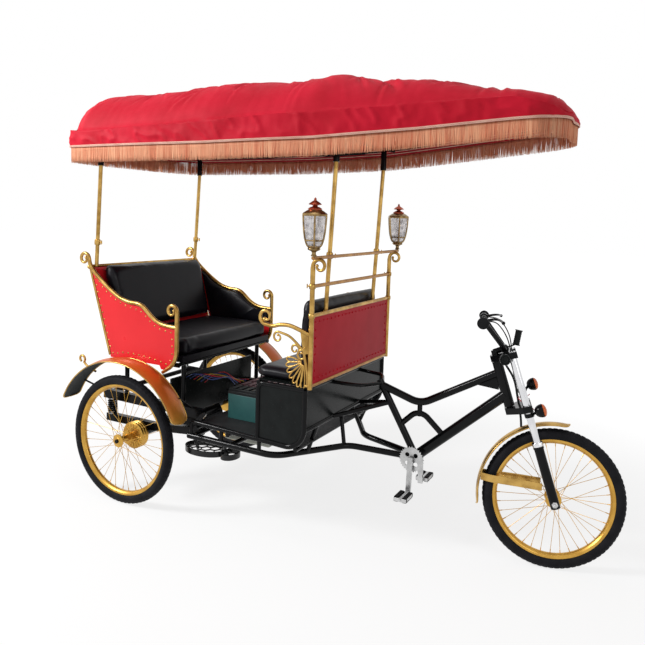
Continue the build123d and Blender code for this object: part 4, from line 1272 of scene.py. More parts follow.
@dataclass
class RearBench:
    """The rear bench's gilt rails, its nailed red panels and the thin trims."""

    rail: Array = field(default_factory=lambda: np.array([
        (0.298, 0.937), (0.255, 0.938), (0.202, 0.944), (0.155, 0.962), (0.121, 0.985),
        (0.088, 1.012), (0.060, 1.029), (0.020, 1.036), (-0.023, 1.038), (-0.09, 1.056),
        (-0.159, 1.094), (-0.225, 1.140), (-0.275, 1.180), (-0.303, 1.215), (-0.312, 1.245)]))
    spread: float = 0.420

    def build(self) -> list[bpy.types.Object]:
        """Makes what the bench adds to its panels.

        Returns:
            The board and wires under the seat, the rails and the nails.
        """
        return self.under_seat() + [self.rails(), self.nails()]

    def rails(self) -> bpy.types.Object:
        """Makes the rails by carrying circles along smooth lines that end in scrolls.

        Returns:
            The rails.
        """
        rails = Shape("rear_bench_scroll_rails", GILT)
        for side in (-1, 1):
            y = side * self.spread
            line = curve(self.rail, 120)
            scroll = wound(line[-1], 100, 0.034, 0.013, 1.10, 1, y)
            path = scrolled(line, scroll, y)
            taper = np.concatenate([np.full(110, 0.0110), np.linspace(0.0110, 0.0058, 69)])
            rails.tube(path, taper, 14, normal=LEFT)
            ball(rails, path[-1], 0.0085)
            foot = curve(np.array([(0.208, 0.700), (0.232, 0.716), (0.262, 0.738),
                                   (0.287, 0.772), (0.297, 0.815), (0.298, 0.90),
                                   (0.298, 0.96), (0.298, 1.012)]), 80)
            scroll = wound(foot[-1], 90, 0.033, 0.013, 1.08, 1, y)
            path = scrolled(foot, scroll, y)
            taper = np.concatenate([np.linspace(0.0085, 0.0108, 20), np.full(55, 0.0108),
                                    np.linspace(0.0108, 0.0055, 64)])
            rails.tube(path, taper, 14, normal=LEFT)
            ball(rails, path[-1], 0.0082)
            rails.rod(at(-0.156, y, 0.745), at(-0.306, y, 1.206), 0.0065, 10)
            ball(rails, at(-0.303, y * 1.012, 1.203), 0.0125)
            tail = curve(np.array([(-0.262, 0.640), (-0.300, 0.652), (-0.330, 0.664),
                                   (-0.350, 0.680)]), 30)
            hook = wound(tail[-1], 48, 0.022, 0.014, 0.82, 1, y)
            path = scrolled(tail, hook, y)
            rails.tube(path, 0.0062, 12, normal=LEFT)
        rails.rod(at(-0.301, -self.spread, 1.206), at(-0.301, self.spread, 1.206), 0.0088, 14)
        return rails.make(Body.CHASSIS, ("rear_bench_rails",), sharp=60)

    def under_seat(self) -> list[bpy.types.Object]:
        """Makes the dark board as a bevelled box, and six wires as tubes along smooth lines,
        with both ends of each held.

        Returns:
            The board and the wires.
        """
        board = Shape("under_seat_board", PANEL_BLACK)
        board.bar(at(0.196, -0.352, 0.432), at(0.206, 0.352, 0.652))
        wires = Shape("controller_wires", BLUE_WIRE, YELLOW_WIRE, RED_WIRE)
        for k in range(6):
            rise, slide = 0.012 * k, 0.030 * k
            line = curve(np.array([at(0.214, -0.250 + slide, 0.640 - rise),
                                   at(0.290, -0.262 + slide, 0.672 - rise * 0.6),
                                   at(0.372, -0.235 + slide * 0.7, 0.648 + rise * 0.3),
                                   at(0.452, -0.212 + slide * 0.5, 0.668 - rise * 0.4),
                                   at(0.500, -0.205 + slide * 0.8, 0.636)]), 50)
            wires.tube(line, 0.0024, 8, slot=(0, 0, 2, 1, 0, 2)[k], normal=LEFT)
        return [bevelled(board.make(Body.CHASSIS, sharp=30), 0.002),
                wires.make(Body.CHASSIS, sharp=60)]

    def nails(self) -> bpy.types.Object:
        """Sets dome nails along a line inside each panel's edge, evenly by length.

        Returns:
            The nails.
        """
        nails = Shape("rear_bench_nails", GILT)
        inner = np.array([(-0.262, 1.145), (-0.205, 1.098), (-0.140, 1.055), (-0.06, 1.022),
                          (0.0, 1.008), (0.055, 1.000), (0.095, 0.976), (0.150, 0.935),
                          (0.205, 0.916), (0.268, 0.908), (0.270, 0.860), (0.272, 0.800),
                          (0.255, 0.757), (0.215, 0.745), (0.190, 0.756), (0.06, 0.770),
                          (-0.06, 0.770), (-0.135, 0.760), (-0.170, 0.850), (-0.215, 0.990)])
        spots = even(curve(inner, 300, True), 0.037, True)
        for side in (-1, 1):
            nail_field(nails, upright(spots, side * (self.spread + 0.003)), LEFT * side)
        return nails.make(Body.CHASSIS, sharp=60)


def nail_field(shape: Shape, spots: Array, out: Array, radius: float = 0.0046) -> None:
    """Adds dome nails: each a ring of arcs from its foot to its top.

    Args:
        shape: the shape that takes them.
        spots: the nails' places, one row each.
        out: the direction that the nails stand out.
        radius: the nails' radius.
    """
    first = np.cross(out, (0.3, 0.2, 0.9))
    first /= np.linalg.norm(first)
    second = np.cross(out, first)
    turn = np.linspace(0, 2 * np.pi, 10, endpoint=False)
    rows = []
    for lift in (0.0, 0.45, 0.9, 1.25):
        ring = np.cos(turn)[:, None] * first + np.sin(turn)[:, None] * second
        rows.append(ring * radius * np.cos(lift) + out * radius * 0.62 * np.sin(lift))
    points = np.vstack(rows)
    shape.copies(points, ring_quads(4, 10), spots)
    shape.copies(points[30:], [list(range(10))], spots)


@dataclass
class FrontBench:
    """The gilt rail frame with its scrolls, the arms with their cast fans and the nails."""

    spread: float = 0.420
    post_x: float = 1.067

    def build(self) -> list[bpy.types.Object]:
        """Makes the frame, the arms and the nails.

        Returns:
            The gilt frame, the arm brackets and the nails.
        """
        return [self.rails(), self.arms(), self.nails()]

    def rails(self) -> bpy.types.Object:
        """Makes the posts with their scrolls, collars and bolts, and the rails across.

        Returns:
            The gilt frame.
        """
        rails = Shape("front_bench_gilt_frame", GILT, OLD_GILT)
        for side in (-1, 1):
            y = side * self.spread
            post = np.stack([at(self.post_x, y, z) for z in (0.742, 1.0, 1.2, 1.291)])
            rails.tube(post, 0.0112, 16)
            scroll = wound(np.array([self.post_x, 1.291]), 90, 0.034, 0.013, 1.06, -1, y)
            scroll[:, 0] -= ORIGIN_X
            rails.tube(scroll, np.linspace(0.0098, 0.0052, 60), 14, normal=LEFT)
            ball(rails, scroll[-1], 0.008)
            for z in (1.205, 1.073):
                collar = [(0.0112, -0.012), (0.0145, -0.010), (0.0155, 0.0), (0.0145, 0.010),
                          (0.0112, 0.012)]
                rails.lathe(np.array(collar), at(self.post_x, y, z), UP, 20)
            wing = at(self.post_x - 0.012, y, 1.205)
            rails.rod(wing, wing + (-0.014, 0.0, 0.0), 0.0035)
            rails.rod(wing + (-0.015, 0.0, -0.010), wing + (-0.015, 0.0, 0.010), 0.0026)
        for z, radius, slot in ((0.755, 0.008, 1), (1.073, 0.0092, 0), (1.205, 0.0088, 1)):
            rails.rod(at(self.post_x, -self.spread, z), at(self.post_x, self.spread, z), radius,
                      14, slot)
        rails.rod(at(1.094, -0.471, 1.3335), at(1.094, 0.471, 1.3335), 0.008, 14, 1)
        for side in (-1, 1):
            rails.rod(at(1.044, side * self.spread, 0.755),
                      at(self.post_x, side * self.spread, 0.755), 0.007, 10)
        return rails.make(Body.CHASSIS, ("front_bench_rails",), sharp=60)

    def nails(self) -> bpy.types.Object:
        """Sets dome nails round the front panel, evenly by length.

        Returns:
            The nails.
        """
        # The nails take the front panel's red, which has its painted shade.
        nails = Shape("front_bench_nails", SHADED_RED)
        low, high, edge = 0.785, 1.043, 0.385
        corners = np.array([(-edge, low), (edge, low), (edge, high), (-edge, high)])
        spots = even(corners, 0.0365, True)
        nail_field(nails, np.stack([np.full(len(spots), self.post_x + 0.003 - ORIGIN_X),
                                    spots[:, 0], spots[:, 1]], 1), FORWARD,
                   0.0056)
        return nails.make(Body.CHASSIS, sharp=60)

    def arms(self) -> bpy.types.Object:
        """Makes the scrolled arms, and under each a cast fan of long loops with two scrolls.

        Returns:
            The brackets.
        """
        arms = Shape("front_arm_castings", GILT)
        for side in (-1, 1):
            y = side * self.spread
            line = curve(np.array([(1.060, 0.986), (1.01, 1.004), (0.955, 1.019), (0.905, 1.018),
                                   (0.865, 1.008), (0.825, 1.012)]), 60)
            scroll = wound(line[-1], 170, 0.036, 0.014, 1.08, -1, y)
            path = scrolled(line, scroll, y)
            taper = np.concatenate([np.linspace(0.0098, 0.0092, 60), np.linspace(0.0092, 0.006,
                                                                                 59)])
            arms.tube(path, taper, 14, normal=LEFT)
            ball(arms, path[-1], 0.0105)
            branch = curve(np.array([(1.045, 0.905), (1.015, 0.925), (0.985, 0.950),
                                     (0.950, 0.972), (0.900, 0.984)]), 40)
            scroll = wound(branch[-1], 172, 0.025, 0.010, 1.05, 1, y)
            path = scrolled(branch, scroll, y)
            arms.tube(path, np.linspace(0.0068, 0.0042, len(path)), 10, normal=LEFT, flat=0.8)
            ball(arms, path[-1], 0.0065)
            eye = wound(np.array([1.046, 0.900]), 118, 0.026, 0.008, 1.35, 1, y)
            eye[:, 0] -= ORIGIN_X
            arms.tube(eye, np.linspace(0.0068, 0.0042, 60), 10, normal=LEFT, flat=0.8)
            hub = np.array([1.035, 0.862])
            tips = np.array([(0.943, 0.868), (0.941, 0.838), (0.948, 0.808), (0.962, 0.782),
                             (0.982, 0.760), (1.005, 0.744), (1.030, 0.736)])
            for tip in tips:
                reach = tip - hub
                length = np.linalg.norm(reach)
                reach /= length
                beside = np.array([-reach[1], reach[0]])
                t = np.linspace(0, 2 * np.pi, 28, endpoint=False)
                loop = (hub + reach * (0.016 + (length - 0.016) * (0.5 - 0.5 * np.cos(t)))[:, None]
                        + beside * (np.sin(t) * 0.0145 * (0.25 + 0.75 * (0.5 - 0.5 * np.cos(t))))
                        [:, None])
                path = upright(loop, y)
                arms.tube(path, 0.0038, 8, closed=True, normal=LEFT, flat=1.2)
            curl = wound(np.array([1.004, 0.900]), 60, 0.024, 0.008, 1.15, 1, y)
            curl[:, 0] -= ORIGIN_X
            arms.tube(curl, np.linspace(0.0062, 0.0040, 60), 10, normal=LEFT, flat=0.8)
            spine = curve(np.array([(1.052, 0.985), (1.046, 0.94), (1.034, 0.905), (1.045, 0.85),
                                    (1.054, 0.80), (1.056, 0.755)]), 40)
            path = upright(spine, y)
            arms.tube(path, 0.0075, 10, normal=LEFT, flat=0.7)
            web = np.array([(1.012, 1.000), (1.056, 0.988), (1.056, 0.90), (1.030, 0.915),
                            (1.020, 0.955)])
            front = upright(web, y - 0.0028)
            back = front + np.array([0, 0.0056, 0])
            ring = [[k, (k + 1) % 5, 5 + (k + 1) % 5, 5 + k] for k in range(5)]
            arms.add(np.vstack([front, back]), [[4, 3, 2, 1, 0], [5, 6, 7, 8, 9]] + ring)
        return arms.make(Body.CHASSIS, ("front_arm_brackets",), sharp=60)


@dataclass
class CanopyPosts:
    """The four gilt posts of the canopy, each with a clamp collar and its wing bolt."""

    rear: tuple[Colour, Colour] = ((-0.284, 0.396, 1.206), (-0.253, 0.396, 1.744))
    front: tuple[Colour, Colour] = ((1.047, 0.257, 1.073), (1.082, 0.262, 1.766))
    radius: float = 0.0102

    def build(self) -> list[bpy.types.Object]:
        """Makes each post as a straight tube with a turned collar and a bolt across it.

        Returns:
            The posts.
        """
        shape = Shape("canopy_post_tubes", GILT)
        collar = np.array([(0.0095, -0.016), (0.0150, -0.014), (0.0162, -0.006),
                           (0.0162, 0.006), (0.0150, 0.014), (0.0095, 0.016)])
        for low, high in (self.rear, self.front):
            for side in (-1, 1):
                foot = at(low[0], side * low[1], low[2])
                head = at(high[0], side * high[1], high[2])
                shape.rod(foot, head, self.radius, 16)
                up = (head - foot) / np.linalg.norm(head - foot)
                clamp = foot + up * (1.335 - low[2])
                shape.lathe(collar, clamp, up, 24)
                shape.rod(clamp, clamp + (0.030, 0.0, 0.0), 0.0036)
                shape.rod(clamp + (0.030, 0.0, -0.011), clamp + (0.030, 0.0, 0.011), 0.0030)
        return [shape.make(Body.CHASSIS, ("canopy_posts",), sharp=50)]


@dataclass
class Lanterns:
    """The two carriage lanterns: six panes in a tapered brass frame under a copper roof."""

    x: float = 1.094
    spread: float = 0.463
    foot: float = 1.3418

    def build(self) -> list[bpy.types.Object]:
        """Makes the frames and the panes: bars follow the body's bulging outline at six corners.

        Returns:
            The frames and the glass.
        """
        metal = Shape("lantern_brasswork", BRASS, COPPER, GILT)
        panes = Shape("lantern_panes", GLASS)
        body = np.array([(0.030, 0.041), (0.039, 0.052), (0.0465, 0.075), (0.052, 0.105),
                         (0.0555, 0.140), (0.0578, 0.176)])
        body = np.stack([np.interp(np.linspace(0.041, 0.176, 16), body[:, 1], body[:, 0]),
                         np.linspace(0.041, 0.176, 16)], 1)
        for side in (-1, 1):
            foot = at(self.x, side * self.spread, self.foot)
            base = [(0.001, 0.0), (0.0125, 0.0), (0.0135, 0.003), (0.0095, 0.008),
                    (0.0095, 0.018), (0.0150, 0.022), (0.0265, 0.027), (0.0285, 0.032),
                    (0.0260, 0.037), (0.0240, 0.041), (0.001, 0.0412)]
            metal.lathe(np.array(base), foot, UP, 32)
            roof = [(0.001, 0.1765), (0.0610, 0.1765), (0.0620, 0.180), (0.0600, 0.184),
                    (0.0520, 0.189), (0.0420, 0.195), (0.0330, 0.199), (0.0300, 0.2005)]
            metal.lathe(np.array(roof), foot, UP, 6)
            dome = [(0.0300, 0.2000), (0.0310, 0.204), (0.0200, 0.211), (0.0120, 0.2135),
                    (0.0100, 0.2170), (0.0160, 0.2190), (0.0270, 0.2210), (0.0285, 0.2235),
                    (0.0210, 0.2300), (0.0120, 0.2360), (0.0070, 0.2390), (0.0050, 0.2420),
                    (0.0062, 0.2450), (0.0040, 0.2490), (0.0012, 0.2518)]
            metal.lathe(np.array(dome), foot, UP, 24, slot=1)
            for k in range(6):
                turn = math.radians(60 * k)
                out = np.array([math.cos(turn), math.sin(turn), 0])
                bar = foot + body[:, :1] * out + body[:, 1:] * UP
                metal.tube(bar, 0.0038, 8)
                after = math.radians(60 * k + 60)
                out2 = np.array([math.cos(after), math.sin(after), 0])
                for row in (0, 3, 15):
                    metal.rod(foot + body[row, 0] * out + body[row, 1] * UP,
                              foot + body[row, 0] * out2 + body[row, 1] * UP, 0.0030)
            turn = np.radians(np.arange(6) * 60)
            ring = np.stack([np.cos(turn), np.sin(turn), 0 * turn], 1)
            outer = (foot + (body[:, 0] - 0.0010)[:, None, None] * ring[None]
                     + body[:, 1][:, None, None] * UP)
            inner = (foot + (body[:, 0] - 0.0030)[:, None, None] * ring[None]
                     + body[:, 1][:, None, None] * UP)
            panes.grid(np.concatenate([outer, inner[::-1]]), round_u=True, round_v=True)
            candle = [(0.001, 0.043), (0.0085, 0.043), (0.0085, 0.085), (0.0110, 0.100),
                      (0.0120, 0.115), (0.0085, 0.135), (0.001, 0.146)]
            panes.lathe(np.array(candle), foot, UP, 16)
        return [metal.make(Body.CHASSIS, ("lantern_frames",), sharp=35),
                panes.make(Body.CHASSIS, ("lantern_glass",), sharp=35)]


@dataclass(frozen=True)
class Pane(Finish):
    """Seeded window glass: clear with a wavy relief."""

    def material(self) -> bpy.types.Material:
        """Makes the glass material, once.

        Returns:
            The material, with less bending of light and some of what is behind it.
        """
        fresh = bpy.data.materials.get(self.name) is None
        made = super().material()
        if fresh:
            shader = made.node_tree.nodes["Principled BSDF"]
            shader.inputs["IOR"].default_value = 1.3
            shader.inputs["Alpha"].default_value = 0.55
        return made


GLASS = Pane("seeded_glass", (0.86, 0.83, 0.83), (0.30, 0.28, 0.29), (0.04, 0.12), clear=0.85,
             grain=Grain.CAST, grain_size=0.012, relief=0.002, patch=0.02)


@dataclass
class Mudguard:
    """A crowned strip round a wheel, painted outside, dark inside, with a bead on each edge."""

    name: str
    node: str
    body: Body
    centre: Array
    forward: Array
    up: Array
    radius: float
    half: float
    crown: float
    first: float
    last: float
    outer: Finish

    def build(self) -> list[bpy.types.Object]:
        """Makes the strip: its section is a low arc whose width closes in a half round at
        each end, carried round the wheel's centre.

        Returns:
            The mudguard.
        """
        side = np.cross(self.up, self.forward)
        turn = np.radians(np.linspace(self.first, self.last, 110))
        reach = self.radius
        from_end = np.minimum(turn - turn[0], turn[-1] - turn) * reach
        width = self.half * np.sqrt(np.clip(1 - (1 - np.clip(from_end / 0.030, 0, 1)) ** 2,
                                            0.02, 1))
        across = np.linspace(-1, 1, 17)
        drop = self.crown * across ** 2 * (width[:, None] / self.half)
        ray = (np.cos(turn)[:, None] * self.forward + np.sin(turn)[:, None] * self.up)[:, None]

        def skin(lift: float) -> Array:
            """The strip at a height over its own surface."""
            return (self.centre + ray * (reach - drop + lift)[..., None]
                    + side * (width[:, None] * across)[..., None])

        shape = Shape(self.name, self.outer, UNDERSIDE, GILT)
        top, under = skin(-0.0006), skin(-0.0022)
        shape.grid(top, flip=True)
        shape.grid(under, slot=1)
        edge = np.vstack([top[:, 0], top[-1, 1:], top[::-1, -1][1:], top[0, ::-1][1:-1]])
        out = edge - self.centre
        shape.tube(edge, 0.0032, 8, closed=True, slot=2, normal=out - side * (out @ side)[:, None])
        return [shape.make(self.body, (self.node,), sharp=60)]


@dataclass
class Steps:
    """The cast passenger steps: an oval and a round ring with a honeycomb web."""

    z: float = 0.3395

    def build(self) -> list[bpy.types.Object]:
        """Makes the rings as bands round an ellipse and the web as ribs between
        neighbouring cells' corners.

        Returns:
            The steps, and a pale sheet under the floor that stands in for the ground seen between
            the rails, with the shadow under the vehicle painted into its grey-green.
        """
        shape = Shape("step_castings", CAST_BLACK)
        for side in (-1, 1):
            for x, half_x, half_y in ((0.455, 0.1165, 0.0745), (0.606, 0.0445, 0.0545)):
                turn = np.linspace(0, 2 * np.pi, 64, endpoint=False)
                section = [(0, -0.0135), (0.0, 0.0135), (-0.003, 0.0150), (-0.006, 0.0135),
                           (-0.006, -0.0135)]
                ring = np.stack([np.stack([
                    x - ORIGIN_X + np.cos(turn) * (half_x + dx),
                    side * 0.375 + np.sin(turn) * (half_y + dx),
                    np.full(64, self.z + dz)], 1) for dx, dz in section], 1)
                shape.grid(ring, round_u=True, round_v=True)
                self.web(shape, x, side * 0.375, half_x - 0.004, half_y - 0.004)
            for x in (0.420, 0.600):
                shape.tube(np.stack([at(x, side * 0.393, 0.341), at(x, side * 0.414, 0.386),
                                     at(x, side * 0.420, 0.398)]), 0.0085, 10)
            for x, y in ((0.555, 0.388), (0.548, 0.355)):
                shape.rod(at(x - 0.004, side * y, 0.3395), at(x + 0.022, side * y, 0.3395), 0.005)
        # A pale sheet under the floor stands in for the ground seen between the rails; its
        # grey-green is painted shadow.
        ground_shadow_sheet = Shape("painted_ground_shadow_sheet", GROUND_SHADOW_PLATE)
        ground_shadow_sheet.bar(at(0.462, -0.238, 0.352), at(0.738, 0.238, 0.392))
        return [shape.make(Body.CHASSIS, ("passenger_steps",), sharp=40),
                bevelled(ground_shadow_sheet.make(Body.CHASSIS, sharp=30), 0.010, 3)]

    def web(self, shape: Shape, x: float, y: float, half_x: float, half_y: float) -> None:
        """Adds the honeycomb: three sides of each cell, where both ends lie in the ring.

        Args:
            shape: the shape that takes it.
            x: the ring's middle, from the rear axle.
            y: the ring's middle, to the left.
            half_x: the ring's half length.
            half_y: the ring's half width.
        """
        cell = 0.0265
        i, j = np.meshgrid(np.arange(-6, 7), np.arange(-6, 7))
        cx = (i * 1.5 * cell).ravel()
        cy = ((j + 0.5 * (i % 2)) * math.sqrt(3) * cell).ravel()
        for k in range(3):
            a = math.radians(60 * k)
            b = math.radians(60 * k + 60)
            ax, ay = cx + cell * math.cos(a), cy + cell * math.sin(a)
            bx, by = cx + cell * math.cos(b), cy + cell * math.sin(b)
            keep = ((ax / half_x) ** 2 + (ay / half_y) ** 2 < 1.35) & (
                (bx / half_x) ** 2 + (by / half_y) ** 2 < 1.35)
            for p, q, r, s in zip(ax[keep], ay[keep], bx[keep], by[keep]):
                ends = []
                for u, v in ((p, q), (r, s)):
                    size = math.sqrt((u / half_x) ** 2 + (v / half_y) ** 2)
                    scale = min(1.0, 1.0 / max(size, 1e-6))
                    ends.append(at(x + u * scale, y + v * scale, self.z))
                if np.linalg.norm(ends[0] - ends[1]) > 0.004:
                    shape.rod(*ends, 0.0036, 6)


@dataclass
class Springs:
    """The rear coil springs over their dampers."""

    x: float = -0.238
    y: float = 0.3245
    low: float = 0.393
    high: float = 0.479

    def build(self) -> list[bpy.types.Object]:
        """Makes each spring as a helix round a turned damper.

        Returns:
            The springs.
        """
        shape = Shape("rear_coil_springs", BLACK, ALLOY)
        for side in (-1, 1):
            t = np.linspace(0, 1, 220)
            turn = t * 2 * np.pi * 6.5
            rise = self.low + 0.006 + (self.high - self.low - 0.012) * t
            centre = at(self.x, side * self.y, 0)
            helix = np.stack([centre[0] + 0.0215 * np.cos(turn),
                              centre[1] + 0.0215 * np.sin(turn), rise], 1)
            shape.tube(helix, 0.0044, 8, normal=UP)
            damper = [(0.001, 0), (0.024, 0), (0.026, 0.003), (0.016, 0.005), (0.014, 0.045),
                      (0.008, 0.047), (0.008, 0.080), (0.026, 0.082), (0.026, 0.0855),
                      (0.001, 0.0857)]
            shape.lathe(np.array(damper), at(self.x, side * self.y, self.low),
                        UP, 24, slot=1)
        return [shape.make(Body.CHASSIS, ("rear_springs",), sharp=50)]


@dataclass
class Batteries:
    """Five accumulators: green cases, stepped lids and the leads that join them."""

    rear: float = 0.486
    length: float = 0.267
    width: float = 0.077
    low: float = 0.4688
    height: float = 0.165

    def build(self) -> list[bpy.types.Object]:
        """Makes each case as a bevelled block with stepped lids, ribs and posts.

        Returns:
            The cases and the leads.
        """
        cases = Shape("battery_cases", GREEN_CASE, LID, MAUVE_LID)
        leads = Shape("battery_leads", RED_WIRE, BLACK)
        for k in range(5):
            y = -0.208 + 0.080 * k
            x0, x1 = self.rear, self.rear + self.length
            y0, y1 = y - self.width / 2, y + self.width / 2
            top = self.low + self.height
            lid = 1 if k == 0 else 2
            cases.bar(at(x0 + 0.002, y0 + 0.001, self.low), at(x1 - 0.002, y1 - 0.001,
                                                               top - 0.038))
            cases.bar(at(x0, y0, top - 0.038), at(x1, y1, top - 0.022), lid)
            cases.bar(at(x0 + 0.004, y0 + 0.004, top - 0.022), at(x1 - 0.004, y1 - 0.004,
                                                                  top - 0.010), lid)
            for r in range(6):
                a = x0 + 0.020 + r * 0.040
                cases.bar(at(a, y0 + 0.007, top - 0.010), at(a + 0.026, y1 - 0.007,
                                                             top - 0.004), lid)
            for a in (x0 + 0.014, x1 - 0.014):
                leads.lathe(np.array([(0.0005, 0), (0.006, 0), (0.006, 0.008), (0.0005, 0.009)]),
                            at(a, y, top - 0.010), UP, 12, slot=1)
            if k < 4:
                a = x0 + 0.014 if k % 2 else x1 - 0.014
                loop = curve(np.array([at(a, y, top - 0.002), at(a - 0.01, y + 0.02, top - 0.001),
                                       at(a - 0.01, y + 0.06, top - 0.001),
                                       at(a, y + 0.080, top - 0.002)]), 24)
                leads.tube(loop, 0.0028, 8, slot=k % 2, normal=UP)
        made = cases.make(Body.CHASSIS, ("batteries",), sharp=30)
        return [bevelled(made, 0.0022), leads.make(Body.CHASSIS, sharp=50)]


@dataclass
class Pedal:
    """A pedal: two rubber blocks in an alloy cage on a turned sleeve."""

    name: str
    body: Body
    y: float
    x: float = 1.425
    z: float = 0.225

    def build(self) -> list[bpy.types.Object]:
        """Makes the blocks, cage, grip ribs and end reflectors as boxes round a turned sleeve.

        Returns:
            The pedal.
        """
        shape = Shape(f"{self.name}_blocks", GRIP_RUBBER, ALLOY, WHITE_STRIP)
        x, z = self.x, self.z
        for end in (-1, 1):
            a = x + end * 0.0115
            b = x + end * 0.0305
            shape.bar(at(a, self.y - 0.041, z - 0.0115), at(b, self.y + 0.041, z + 0.0115))
            for k in range(9):
                rib = self.y - 0.036 + k * 0.009
                shape.bar(at(a, rib - 0.002, z - 0.0120), at(b, rib + 0.002, z + 0.0120))
            shape.bar(at(b, self.y - 0.030, z - 0.006), at(b + end * 0.0013, self.y + 0.030,
                                                            z + 0.008), 2)
        for end in (-1, 1):
            shape.bar(at(x - 0.0315, self.y + end * 0.0425 - 0.0014, z - 0.0085),
                      at(x + 0.0315, self.y + end * 0.0425 + 0.0014, z + 0.0085), 1)
        shape.lathe(np.array([(0.0062, -0.042), (0.0095, -0.042), (0.0095, 0.042),
                              (0.0062, 0.042)]), at(x, self.y, z), LEFT, 20,
                    slot=1, closed=True)
        made = shape.make(self.body, (self.name,), sharp=30)
        return [bevelled(made, 0.0009)]


